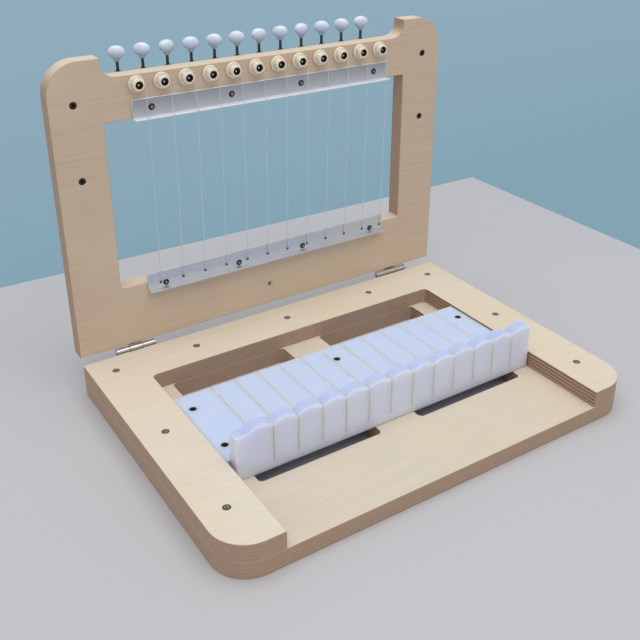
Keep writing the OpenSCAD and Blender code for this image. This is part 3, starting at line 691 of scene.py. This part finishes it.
# %% [markdown]
# ## Turned pieces
# A lathe turns a profile round an axis, and so does this function: a list of radius and height becomes a
# ring of points for each entry. A radius of zero is the pole, which the weld closes. Screws, pins, rollers
# and posts are all made this way. A cross or a slot is pressed into a head afterwards, by moving the points
# inside the recess down, which is close to how a punch makes it.


# %% Lathe and screws
def turned(profile, sides=32):
    """Rows of (radius, height) turned round Z: x = r cos a, y = r sin a, z = h."""
    profile = np.array(profile, float)
    a = np.linspace(0, 2 * math.pi, sides, endpoint=False)[None, :]
    r, h = profile[:, :1], profile[:, 1:]
    points = np.stack([r * np.cos(a), r * np.sin(a), h + 0 * a], -1).reshape(-1, 3)
    return points, quads(len(profile), sides)


def step(x, start, end):
    """Smooth step from 0 at start to 1 at end."""
    t = np.clip((x - start) / (end - start), 0, 1)
    return t * t * (3 - 2 * t)


def screw(head_r, seat, dome, shank_r, length, cross=0.55, deep=0.9, slot=False):
    """A screw along Z with its head's edge at 0: a dome above, a cone or a flat seat below, then the shank.

    The second result says for each point how deep it lies in the recess, from 0 to 1.
    """
    r = np.linspace(0, head_r - 0.15, 12)
    dish = np.stack([r, dome * (1 - (r / head_r) ** 2)], 1)
    below = [(head_r, -0.1), (shank_r, -seat), (shank_r, -length), (shank_r * 0.2, -length - shank_r)]
    points, faces = turned(np.concatenate([dish, below, [(0, -length - shank_r)]]), 48)
    x, y = np.abs(points[:, 0]), np.abs(points[:, 1])
    wide, long = head_r * 0.13, head_r * cross

    def arm(along, beside):
        return (1 - step(beside, wide * 0.7, wide * 1.3)) * (1 - step(along, long * 0.9, long * 1.1))

    pressed = arm(x, y) if slot else np.maximum(arm(x, y), arm(y, x))
    pressed = pressed * (points[:, 2] > -0.05)
    points[:, 2] -= deep * pressed
    return (points, faces), pressed


def placed(shell, spot, towards="up", turn=0.0):
    """The shell turned about its own axis by some degrees, pointed one of four ways, and put on a spot."""
    tilt = {"up": 0, "down": 180, "front": 90, "back": -90}[towards]
    m = Matrix.Translation(spot) @ Matrix.Rotation(math.radians(tilt), 4, "X")
    return moved(shell, m @ Matrix.Rotation(math.radians(turn), 4, "Z"))


def ring(shell, inner, outer):
    """1 between two radii round a screw's axis and 0 elsewhere, softly: a ring of painted shade."""
    r = np.hypot(shell[0][:, 0], shell[0][:, 1])
    return step(r, inner * 0.85, inner * 1.15) * (1 - step(r, outer * 0.98, outer * 1.1))


def fasten(name, screws, painted_shade, material, body, slot, stands_for):
    """One piece made of equal screws; the third argument says for each point of one screw how dark it is
    painted: painted shade.
    """
    build(name, screws, material, body, slot, stands_for, values=("recess", [painted_shade] * len(screws)))


# A wood screw's head radius, seat, dome and shank radius, and how far its head is sunk
WOOD_SCREW, SUNK = (3.1, 1.6, 0.0, 1.5), 0.3
wood, pressed = screw(*WOOD_SCREW, 21.0)
wood_plate = screw(*WOOD_SCREW, 19.0)[0]
wood_frame = screw(*WOOD_SCREW, 10.0)[0]
# Each screw is turned by its own angle, as a driver leaves it
rims = [placed(wood, (x, y, RIM_TOP - SUNK), "up", 37 * i) for i, (x, y) in enumerate(RIM_SCREWS)]
# Each head's pressed cross and a ring at its rim are painted dark: painted shade of the cross and of the gap
# round the sunk head
rim_painted_shade = np.maximum(0.5 * pressed, 0.85 * ring(wood, 2.1, 3.1))
fasten("rim_wood_screws", rims, rim_painted_shade, zinc_steel, "base", "screw_steel", "rim_screws")
lands = [placed(wood_plate, (x, y, plate_top - SUNK), "up", 61 * x + y) for x in LANDS_X for y in LANDS_Y]
# The pressed cross of each plate screw is painted dark: painted shade
fasten("plate_wood_screws", lands, pressed, dark_steel, "base", "dark_screw", "plate_screws")
faces_in = [placed(wood_frame, (x, FACE_Y + SUNK, FOOT_Z + h), "front", 17 * h) for x, h in FRAME_SCREWS]
# Each head's pressed cross and its centre are painted dark: painted shade
face_painted_shade = np.maximum(pressed, ring(wood, 0.0, 1.0))
# The fifth screw sits alone in the sill, and is a yellow one
steels = [dark_steel] * 4 + [sill_steel]
fasten("frame_wood_screws", faces_in, face_painted_shade, steels, "wire_frame", "dark_screw", "frame_screws")
print("one wood screw has", len(wood[1]), "faces")

# %% [markdown]
# ## Hinges
# Each hinge is two pressed leaves rolled round one pin. The base's leaf keeps the two outer knuckles and the
# frame's leaf the middle one, a mirror image across the corner between them, so one drawing makes both.

# %% Hinges
HINGE_X, HINGE_Y, HINGE_OFF = x_end - 52, FACE_Y - 0.4, 4.9
HINGE_LEN, LEAF_H, LEAF_T, KNUCKLE_R, PIN_R = 38.0, 24.0, 1.5, 3.2, 1.4
LEAF_SCREW, LEAF_SCREWS_X = 8.2, (-11, 11)
ROUNDING, PLAY = 0.25, 0.15


def knuckle(x0, x1):
    """One rolled knuckle: a circle with a tab towards the leaf, drawn in Y and Z and carried along X."""

    def along_x(u, v, depth):
        return np.stack([x0 + depth, u, v], 1)

    tab = math.degrees(math.asin(LEAF_T / KNUCKLE_R))
    rolled = arc(0, 0, KNUCKLE_R, -90, 180 + tab, 28)
    shape = np.concatenate([rolled, [[-HINGE_OFF, -LEAF_T], [-HINGE_OFF, -KNUCKLE_R]]])
    pin_hole = bore(0, 0, PIN_R + 0.05, x1 - x0, 20)
    return board(shape, eased(x1 - x0, ROUNDING, 2), along_x, [pin_hole])[0]


def leaf(spans):
    """A leaf with its knuckles: a flat plate with two screw holes, hanging down behind the axis."""
    flat = rounded(-HINGE_LEN / 2, -LEAF_H, HINGE_LEN / 2, -LEAF_T, 0.8, 3)
    holes = [bore(x, -LEAF_SCREW, 1.3, LEAF_T) for x in LEAF_SCREWS_X]
    plate = board(flat, eased(LEAF_T, ROUNDING, 2), standing(LEAF_T - HINGE_OFF, back=-1), holes)[0]
    return [plate] + [knuckle(a, b) for a, b in spans]


def hinge_pair(shells, matrix=None):
    """The shells at both hinges, after a matrix about the hinge's own axis."""
    own = [moved(s, matrix) if matrix else s for s in shells]
    spots = [Matrix.Translation((x, HINGE_Y, RIM_TOP)) for x in (-HINGE_X, HINGE_X)]
    return [moved(s, spot) for spot in spots for s in own]


third = HINGE_LEN / 6
outer = [(-HINGE_LEN / 2, -third - PLAY), (third + PLAY, HINGE_LEN / 2)]
middle = [(PLAY - third, third - PLAY)]
corner_mirror = Matrix(((1, 0, 0, 0), (0, 0, -1, 0), (0, -1, 0, 0), (0, 0, 0, 1)))
base_half, frame_half = hinge_pair(leaf(outer)), hinge_pair(leaf(middle), corner_mirror)
build("base_hinge_leaves", base_half, hinge_steel, "base", "hinge_steel", "base_leaves")
build("frame_hinge_leaves", frame_half, hinge_steel, "wire_frame", "hinge_steel", "frame_leaves")
# A pin's riveted head: radius, and height beyond the end of the shank
RIVET = [(PIN_R, 0), (2.0, 0), (2.0, 0.2), (1.4, 0.6), (0, 0.7)]
pin_end = HINGE_LEN / 2 + 0.3
pin_rows = [(r, -pin_end - h) for r, h in RIVET[::-1]] + [(r, pin_end + h) for r, h in RIVET]
pin = moved(turned(pin_rows, 28), Matrix.Rotation(math.radians(90), 4, "Y"))
build("hinge_pivot_pins", hinge_pair([pin]), hinge_steel, "base", "hinge_steel", "hinge_pins")
leaf_pan, leaf_pressed = screw(2.4, 0.1, 1.1, 1.2, 11.5)
seat = HINGE_OFF - LEAF_T
heads = hinge_pair([placed(leaf_pan, (x, -seat, -LEAF_SCREW), "back", 20 * x) for x in LEAF_SCREWS_X])
# The pressed crosses of the leaf screws are painted dark: painted shade
fasten("base_leaf_pan_screws", heads, leaf_pressed, zinc_steel, "base", "screw_steel", "base_leaf_screws")
heads = hinge_pair([placed(leaf_pan, (x, LEAF_SCREW, seat), "down", 31 * x) for x in LEAF_SCREWS_X])
names = ("wire_frame", "screw_steel", "frame_leaf_screws")
fasten("frame_leaf_pan_screws", heads, leaf_pressed, zinc_steel, *names)
print("hinge centres at x", -HINGE_X, "and", HINGE_X)

# %% [markdown]
# ## Two aluminium angles
# The upper angle holds the wires at their pitch: each one runs over its lip in a notch. The lower angle holds
# their ends: each one goes into a small hole in its leg. Both are cut from the same extruded L. The upper one
# is anodised, with a painted highlight on its lip and edges. The lower one is only brushed.

# %% Angles
ANGLE_X0, ANGLE_X1 = WIRE_X[0] - 12.5, WIRE_X[-1] + 2.9
ANGLE_H, ANGLE_T, LIP = 17.2, 1.5, 8.0
TOP_H, LOW_H = HEAD_H - 0.9, SILL_H - 8.7
TOP_SCREW_H, LOW_SCREW_H = TOP_H + 9.2, LOW_H + 5.0
SCREW_X = [ANGLE_X0 + 17.5, ANGLE_X0 + 93.5, ANGLE_X1 - 98.3, ANGLE_X1 - 15.5]
WIRE_HOLE_R = 1.35
# How far a wire stands in front of the frame where it lies in its notch, and where the notch ends
NOTCH_N, NOTCH_END, LIP_BACK = 6.0, 5.6, 0.2


def angle_shells(foot, screw_h, drilled_x, notched_x, lip_ease):
    """The leg, drawn in X and height, and the lip, drawn in X and distance from the frame."""
    head = foot + ANGLE_H
    leg = np.array([[ANGLE_X0, foot], [ANGLE_X1, foot], [ANGLE_X1, head], [ANGLE_X0, head]])
    holes = [bore(x, screw_h, 1.7, ANGLE_T, 20) for x in SCREW_X]
    eased_hole = [(0.15, 0), (0, 0.15), (0, ANGLE_T)]
    holes += [(circle(x, ANCHOR_H, WIRE_HOLE_R, 16), eased_hole, False) for x in drilled_x]
    leg_shell = board(leg, eased(ANGLE_T, 0.6, 4), standing(FACE_Y - ANGLE_T, FOOT_Z), holes)[0]
    lip = [[ANGLE_X1, LIP_BACK], [ANGLE_X1, LIP]]
    for x in notched_x[::-1]:
        lip += [[x + SLOT, LIP], [x + SLOT, NOTCH_END], [x - SLOT, NOTCH_END], [x - SLOT, LIP]]
    lip += [[ANGLE_X0, LIP], [ANGLE_X0, LIP_BACK]]

    def outward(u, v, depth):
        return np.stack([u, FACE_Y - v, FOOT_Z + foot + ANGLE_T - depth], 1)

    return [leg_shell, board(lip, eased(ANGLE_T, lip_ease, 4), outward)[0]]


upper = angle_shells(TOP_H, TOP_SCREW_H, [], WIRE_X, 0.6)
lower = angle_shells(LOW_H, LOW_SCREW_H, WIRE_X, [], 0.2)
# Painted highlight: the upper leg's eased top edge is painted bright, the leg is painted a little lighter
# towards its foot, and the lip is painted bright all over
points = upper[0][0]
up = (points[:, 2] - FOOT_Z - TOP_H) / ANGLE_H
top_edge = (up > 1 - 0.5 / ANGLE_H) & (points[:, 1] > FACE_Y - ANGLE_T + 0.01)
painted_highlight = ("painted_highlight", [np.where(top_edge, 1.0, 0.4 * (1 - up)), np.ones(len(upper[1][0]))])
build("upper_angle", upper, anodised_aluminium, "wire_frame", "aluminium_angle", "top_angle", values=painted_highlight)
# The walls of the lower leg's wire holes are painted dark: painted shade inside the holes
points = lower[0][0]
from_wire = np.hypot(points[:, :1] - WIRE_X[None, :], points[:, 2:] - FOOT_Z - ANCHOR_H).min(1)
hole_painted_shade = ("recess", [(from_wire < WIRE_HOLE_R + 0.07) * 1.0, np.zeros(len(lower[1][0]))])
build("lower_angle", lower, brushed_aluminium, "wire_frame", "aluminium_angle", "bottom_angle", values=hole_painted_shade)
pan = screw(3.0, 0.1, 1.7, 1.5, 9.0)[0]
heads = [
    placed(pan, (x, FACE_Y - ANGLE_T, FOOT_Z + h), "front", 23 * i + h)
    for i, x in enumerate(SCREW_X)
    for h in (TOP_SCREW_H, LOW_SCREW_H)
]
# A ring round the top of each pan head is painted dark: painted shade, with a light centre left
painted_shade = 0.95 * ring(pan, 1.25, 3.2)
fasten("angle_pan_screws", heads, painted_shade, zinc_steel, "wire_frame", "screw_steel", "angle_screws")
print("angles from x", round(ANGLE_X0, 1), "to", round(ANGLE_X1, 1))

# %% [markdown]
# ## Twelve wires
# A wire is a tube along a path. The path leaves the roller's right side, bends over the upper lip, runs
# straight down the window, bends again and goes into its hole. About two turns of it, the winding, lie round
# the roller's barrel and turn with it.


# %% Tubes and wires
def capped(rows, columns):
    """Faces of a tube of so many rings, with a flat cap on its first and last ring."""
    last = (rows - 1) * columns
    return quads(rows, columns) + [list(range(columns)), list(range(last, last + columns))]


def tube(path, radius, sides=8):
    """A round tube along a path: two frame directions are carried from point to point without twist."""
    path = np.array(path, float)
    along = np.gradient(path, axis=0)
    along /= np.linalg.norm(along, axis=1)[:, None]
    side = np.cross(along[0], [0.3, 0.9, 0.2])
    u = []
    for t in along:
        side = side - t * np.dot(side, t)
        side /= np.linalg.norm(side)
        u.append(side)
    v = np.cross(along, u)
    a = np.linspace(0, 2 * math.pi, sides, endpoint=False)[None, :, None]
    points = path[:, None] + radius * (np.cos(a) * np.array(u)[:, None] + np.sin(a) * v[:, None])
    return points.reshape(-1, 3), capped(len(path), sides)


def softened(corners, radius):
    """The path through the corners, with each inner corner replaced by a short curve."""
    corners = np.array(corners, float)
    before, here, after = corners[:-2], corners[1:-1], corners[2:]
    a = here + radius * (before - here) / np.linalg.norm(before - here, axis=1)[:, None]
    b = here + radius * (after - here) / np.linalg.norm(after - here, axis=1)[:, None]
    t = np.linspace(0, 1, 5)[None, :, None]
    bends = (1 - t) ** 2 * a[:, None] + 2 * t * (1 - t) * here[:, None] + t**2 * b[:, None]
    return np.concatenate([corners[:1], bends.reshape(-1, 3), corners[-1:]])


def front_of(x, n, h):
    """A point on the frame: across, in front of its face, and up from its foot."""
    return (x, FACE_Y - n, FOOT_Z + h)


BARREL_R, GUIDE_N = 5.2, 5.5
runs = []
for i in range(WIRES):
    corners = [
        front_of(SPOOL_X[i] + BARREL_R + WIRE_R + 0.7, GUIDE_N, SPOOL_Z - FOOT_Z),
        front_of(WIRE_X[i], NOTCH_N, TOP_H + ANGLE_T / 2),
        front_of(WIRE_X[i], 2.0, ANCHOR_H),
        front_of(WIRE_X[i], 0.2, ANCHOR_H),
    ]
    runs.append(tube(softened(corners, 0.9), WIRE_R))
build("strung_wires", runs, wire_steel, "wire_frame", "wire_steel", "wires", sharp=60)
print("one wire runs", round(np.linalg.norm(np.diff(np.array(corners), axis=0), axis=1).sum(), 1), "mm")

# %% [markdown]
# ## Tuners: rollers, gears and brackets
# Each tuner is a machine head. The roller is turned cream plastic with a wide collar and a small hole that
# grips the wire, drawn as a deep dimple. A steel post joins it to a brass gear behind the rail, held by a
# slotted screw. A brass bracket carries the worm that turns the gear.

# %% Rollers with their windings
BACK_Y = float(panel_high[1])
GEAR_Y = BACK_Y + 5.4
COLLAR_R, COLLAR_T, ROLLER_FRONT, BACK_END = 7.2, 2.5, 8.5, 0.4 - PLY


def roller(turn):
    """The roller, with its dimple at an angle in degrees, and for each point whether it lies in the mouth,
    which is painted dark as painted shade.

    The profile is radius and distance in front of the panel, from the back rim to the front one and back
    through the bore.
    """
    neck = 0.3 + COLLAR_T
    profile = [(2.05, BACK_END), (4.9, BACK_END), (BARREL_R, BACK_END + 0.3), (BARREL_R, 0.3)]
    profile += [(6.5, 0.3), (6.95, 0.45), (7.15, 0.8), (COLLAR_R, 1.2), (COLLAR_R, neck - 1.0)]
    profile += [(7.1, neck - 0.55), (6.8, neck - 0.2), (6.3, neck), (BARREL_R + 0.25, neck)]
    profile += [(BARREL_R, neck + 0.25)] + [(BARREL_R, n) for n in np.linspace(neck + 0.6, 7.3, 18)]
    profile += [(5.12, 7.8), (4.85, 8.2), (4.4, 8.45), (4.1, ROLLER_FRONT), (3.6, ROLLER_FRONT)]
    profile += [(3.4, 8.35), (3.3, 8.1), (3.2, 4.2), (2.05, 4.0), (2.05, BACK_END)]
    points, faces = turned(profile, 72)
    angle = np.arctan2(points[:, 1], points[:, 0]) - math.radians(turn)
    across_hole = np.abs((angle + math.pi) % (2 * math.pi) - math.pi) * BARREL_R
    near = np.hypot(across_hole, points[:, 2] - GUIDE_N)
    outer_wall = np.hypot(points[:, 0], points[:, 1]) > BARREL_R - 0.01
    pull = 1 - 0.45 * (1 - step(near, 0.55, 0.95)) * (outer_wall & (points[:, 2] > neck))
    points[:, :2] *= pull[:, None]
    # Points inside the mouth and bore are marked for painted shade
    inside = (np.hypot(points[:, 0], points[:, 1]) < 3.35) & (points[:, 2] > 3.9)
    return (points, faces), inside * 1.0


def wound(turns):
    """Turns of wire that climb the barrel: x = r cos a, y = r sin a, and z climbs by one rise each turn."""
    a = np.linspace(0, 2 * math.pi * turns, int(26 * turns))
    r, start, rise = BARREL_R + WIRE_R * 0.9, 3.15, 0.62
    path = np.stack([r * np.cos(a), r * np.sin(a), start + rise * a / (2 * math.pi)], 1)
    return tube(path, WIRE_R * 0.95, 6)


TAGS = [f"{i + 1:02d}" for i in range(WIRES)]
for i, tag in enumerate(TAGS):
    spot = (SPOOL_X[i], FACE_Y, SPOOL_Z)
    piece, mouth = roller(i * 53)
    names = ("post_" + tag, "cream_plastic", "spool_" + tag)
    shells = [placed(piece, spot, "front")]
    build("roller_" + tag, shells, cream, *names, sharp=50, values=("recess", [mouth]))
    winding = placed(wound(1.6 + 0.4 * (i % 3)), spot, "front")
    build("winding_" + tag, [winding], wire_steel, "post_" + tag, "wire_steel", sharp=60)
print("rollers turned:", WIRES)

# %% [markdown]
# ## Gears and worms that mesh
# The gear has fourteen trapezoid teeth of module 0.6. The worm is a single thread: cut across, it's one bump
# on a round shaft, and the bump's direction turns once for each lead as you climb. That is a surface of two
# parameters, the angle round the shaft and the height along it.

# %% Gears and brackets
TEETH, MODULE, GEAR_T = 14, 0.6, 2.8
GEAR_R = TEETH * MODULE / 2
WORM_X, LEAD, WORM_TURNS = -(GEAR_R + 2.3), math.pi * MODULE, 4
POST_R, SHAFT_R, BRACKET_T, LUG_T, LUG_R, LUGS_Z = 2.0, 1.3, 1.2, 1.7, 2.4, (-7.5, 5.8)
root, tip = GEAR_R - 1.25 * MODULE, GEAR_R + MODULE
# One tooth: radius, and angle as a share of the pitch
tooth = np.array([(root, -0.24), (tip, -0.09), (tip, 0.09), (root, 0.24)])
angles = math.pi + (np.arange(TEETH)[:, None] + tooth[None, :, 1]) * 2 * math.pi / TEETH
gear_outline = np.stack([tooth[:, 0] * np.cos(angles), tooth[:, 0] * np.sin(angles)], -1).reshape(-1, 2)
gear_disc = board(gear_outline, eased(GEAR_T, 0.25, 2), lying(GEAR_T / 2))[0]
post_end = GEAR_Y - FACE_Y + ROLLER_FRONT - 1.8
# The post is drawn 27.6 long and then stretched to reach the roller's mouth
POST_ROWS = [(0, -1.4), (POST_R, -1.4), (POST_R, 22.6), (POST_R, 27.1), (1.6, 27.5), (1.1, 27.5), (0.7, 27.6)]
post = turned(POST_ROWS + [(0, 27.6)], 28)
post[0][:, 2] *= post_end / 27.6
# The post's end, deep in the roller's mouth, is painted dark round a light centre: painted shade
post_painted_shade = ring(post, 0.9, 2.4) * (post[0][:, 2] > post_end - 6)
gear_cap, cap_pressed = screw(2.2, 1.0, 0.25, 1.6, 1.3, cross=1.2, deep=0.6, slot=True)
gear_cap = moved(gear_cap, Matrix.Translation((0, 0, -2.35)) @ Matrix.Rotation(math.pi, 4, "X"))


def bracket_shells(cx, cz):
    """A plate on the rail's back round a roller's axis, and two lugs that hold the worm's shaft."""
    post_hole = bore(cx, cz, POST_R + 0.05, BRACKET_T, 20)
    flat = rounded(cx + WORM_X - 3.0, cz - 8.7, cx + 7.5, cz + 7.2, 1.0, 3)
    shells = [board(flat, eased(BRACKET_T, 0.2, 2), standing(BACK_Y + BRACKET_T, back=-1), [post_hole])[0]]
    x, y = cx + WORM_X, BACK_Y + 0.3
    lug = np.concatenate([[[x + LUG_R, y]], arc(x, GEAR_Y, LUG_R, 0, 180, 12), [[x - LUG_R, y]]])
    shaft_hole = bore(x, GEAR_Y, SHAFT_R + 0.05, LUG_T)
    for foot in LUGS_Z:
        shells.append(board(lug, eased(LUG_T, 0.2, 2), lying(cz + foot + LUG_T), [shaft_hole])[0])
    return shells


print("gear outline has", len(gear_outline), "corners")

# %% [markdown]
# ## Keys
# A key is a blued shaft with the worm in its middle, a shoulder beside each lug and a pearl button on top.
# Fingers left every button at an angle of its own.

# %% Worms, buttons and keys
CREST_R, WORM_ROOT_R, FLANK = 2.9, 1.55, (27, 88)


def worm():
    """A shaft whose r falls from crest to root away from the crest, which turns with z: a = 2 pi z / lead."""
    a = np.linspace(0, 2 * math.pi, 28, endpoint=False)[None, :]
    z = np.linspace(-WORM_TURNS * LEAD / 2, WORM_TURNS * LEAD / 2, WORM_TURNS * 22 + 1)[:, None]
    away = np.degrees(np.abs((a - 2 * math.pi * z / LEAD + 2 * math.pi) % (2 * math.pi) - math.pi))
    r = CREST_R + (WORM_ROOT_R - CREST_R) * np.clip((away - FLANK[0]) / (FLANK[1] - FLANK[0]), 0, 1)
    points = np.stack([r * np.cos(a), r * np.sin(a), z + 0 * a], -1).reshape(-1, 3)
    return points, capped(z.size, a.size)


def button():
    """A turned knob, pressed to an oval: y is held under two large spheres by the soft minimum of power 7."""
    r, h, t = 7.2, 6.5, 9.8
    sweep = np.radians(np.linspace(-62, 86, 26))
    rows = np.stack([r * np.cos(sweep), 1 + (h - 1) * np.sin(sweep)], 1)
    points, faces = turned(np.concatenate([[(0, -h), (2.2, -h), (2.4, -h + 0.2)], rows, [(0, h)]]), 48)
    sphere = ((r + 2) ** 2 + (t / 2) ** 2) / t
    flat = np.sqrt(sphere**2 - points[:, 0] ** 2 - points[:, 2] ** 2) - (sphere - t / 2)
    y = np.abs(points[:, 1]) + 1e-6
    points[:, 1] = np.sign(points[:, 1]) * (y**-7 + flat**-7) ** (-1 / 7)
    return points, faces


BUTTON_UP = 22.0
KEY_TURNS = [-20, -38, 18, -12, -46, -26, 4, -40, 16, -30, -44, -10]
shoulder = [(SHAFT_R, 3.77), (1.9, 3.77), (1.9, 5.35), (1.75, 5.5), (SHAFT_R, 5.5)]
low_side = [(r, -z) for r, z in shoulder[::-1]]
shaft_rows = [(0, -8.1), (1.1, -8.1), (SHAFT_R, -7.9)] + low_side + shoulder + [(SHAFT_R, 17.5), (0, 17.5)]
shaft_shell, worm_shell, button_shell = turned(shaft_rows, 24), worm(), button()
# How high each point of a button stands, for the painted shade low down
height = step(button_shell[0][:, 2], -4.5, 6.0)
print("worm faces:", len(worm_shell[1]), "button faces:", len(button_shell[1]))

# %% Put the tuners together
small_pan, head_pressed = screw(1.8, 0.1, 0.9, 0.9, 7.0)
BRACKET_SCREWS = [(4.9, -6.4), (4.9, 5.2)]
# Painted shade on the post's end and in the cap screw's slot
gear_painted_shade = ("recess", [np.zeros(len(gear_disc[0])), post_painted_shade, cap_pressed])
key_painted_shade = ("height", [np.zeros(len(shaft_shell[0])), np.zeros(len(worm_shell[0])), height])
brackets, heads = [], []
for i, tag in enumerate(TAGS):
    x, z = SPOOL_X[i], SPOOL_Z
    head = [placed(part, (x, GEAR_Y, z), "front") for part in (gear_disc, post, gear_cap)]
    names = ("post_" + tag, "gear_brass", "gear_" + tag)
    build("machine_gear_" + tag, head, [gear_brass, zinc_steel, zinc_steel], *names, values=gear_painted_shade)
    spot = Matrix.Translation((x + WORM_X, GEAR_Y, z))
    up = Matrix.Translation((0, 0, BUTTON_UP)) @ Matrix.Rotation(math.radians(KEY_TURNS[i]), 4, "Z")
    key = [moved(shaft_shell, spot), moved(worm_shell, spot), moved(button_shell, spot @ up)]
    names = ("key_" + tag, "pearl_plastic", "key_" + tag)
    build("tuner_key_" + tag, key, [shaft_steel, shaft_steel, pearl], *names, values=key_painted_shade)
    brackets += bracket_shells(x, z)
    for a, b in BRACKET_SCREWS:
        heads.append(placed(small_pan, (x + a, BACK_Y + BRACKET_T, z + b), "back", 40 * i + b))
build("tuner_plates", brackets, bracket_brass, "wire_frame", "bracket_brass", "tuner_brackets")
# The pressed crosses of the bracket screws are painted dark: painted shade
fasten("tuner_plate_screws", heads, head_pressed, zinc_steel, "wire_frame", "screw_steel", "bracket_screws")
print("tuners built:", WIRES)

# %% [markdown]
# ## Table, wall and light
# The slicer stands near the far corner of a pale table in front of a blue wall. The table and the wall are
# one flat polygon each. The wall shows its blue to the camera, in reflections and through clear things, and
# to every other ray it shines like the pale studio round it, so it tints nothing. A wide soft lamp above and
# a little in front gives the gentle top light, and the pale studio fills the shadows.

# %% Stage
def backdrop(name, corners, material):
    """A flat polygon of the stage, which isn't part of the object."""
    mesh = bpy.data.meshes.new(name)
    mesh.from_pydata(corners, [], [range(len(corners))])
    mesh.materials.append(material)
    made = bpy.data.objects.new(name, mesh)
    add_to_scene(made)


laminate, tree, shader, place = new_material("matt_table_laminate", Roughness=0.55)
mottle = add(tree, "TexNoise", {"Vector": place, "Scale": 0.004, "Detail": 3.0})
grey = add(tree, "Mix", {0: mottle, 6: "#BFBFC4", 7: "#C4C4C8"}, **BLEND)
tree.links.new(grey, shader.inputs["Base Color"])
backdrop("table_top", [(0.484, 0.384, 0), (-4.2, 0.49, 0), (-4.2, -4.0, 0), (0.484, -4.0, 0)], laminate)

FILL_COLOUR, FILL_STRENGTH = linear("#F6F8FC"), 0.60
world = bpy.data.worlds.new("pale_studio")
bpy.context.scene.world = world
world.use_nodes = True
world.node_tree.nodes["Background"].inputs["Color"].default_value = FILL_COLOUR
world.node_tree.nodes["Background"].inputs["Strength"].default_value = FILL_STRENGTH

wall_paint, tree, shader, place = new_material("matt_blue_wall_paint")
# The blue is painted a little lighter towards the top: painted light
up = add(tree, "SeparateXYZ", {0: place}, out=2)
up = add(tree, "MapRange", {0: up, 1: -600, 2: 100})
blue = add(tree, "Mix", {0: up, 6: "#84A4B4", 7: "#91ADBD"}, **BLEND)
rays = add(tree, "LightPath", out=None).outputs
seen = add(tree, "Math", {0: rays["Is Camera Ray"], 1: rays["Is Glossy Ray"]}, operation="MAXIMUM")
seen = add(tree, "Math", {0: seen, 1: rays["Is Transmission Ray"]}, operation="MAXIMUM")
shown = add(tree, "Emission", {"Color": blue, "Strength": 1.0})
unseen = add(tree, "Emission", {"Color": FILL_COLOUR, "Strength": FILL_STRENGTH})
painted = add(tree, "MixShader", {0: seen, 1: unseen, 2: shown})
tree.links.new(painted, tree.nodes["Material Output"].inputs["Surface"])
backdrop("back_wall", [(-2.6, 1.6, -2.5), (2.8, 1.6, -2.5), (2.8, 1.6, 2.5), (-2.6, 1.6, 2.5)], wall_paint)

softbox = bpy.data.lights.new("overhead_softbox", "AREA")
softbox.shape = "SQUARE"
softbox.size = 2.4
softbox.energy = 33.0
softbox.color = linear("#FFFDF8")[:3]
lamp = bpy.data.objects.new("overhead_softbox", softbox)
lamp.location = (-0.12, -0.40, 2.2)
aim = Vector((0.0, 0.0, 0.1)) - lamp.location
lamp.rotation_euler = aim.to_track_quat("-Z", "Y").to_euler()
add_to_scene(lamp)
print("stage set")

# %% [markdown]
# ## Camera
# The camera looks down on the base from the front left, about 25 degrees above the table.

# %% Camera
camera_data = bpy.data.cameras.new("portrait")
camera_data.lens = 49.74
camera_data.sensor_width = 36.0
camera_data.shift_y = -0.0985
camera = bpy.data.objects.new("portrait", camera_data)
camera.location = (-0.3894, -0.5447, 0.4593)
camera.rotation_euler = (math.radians(90 - 25.27), 0.0, math.radians(-32.9))
add_to_scene(camera)
bpy.context.scene.camera = camera
bpy.context.scene.view_settings.view_transform = "Standard"
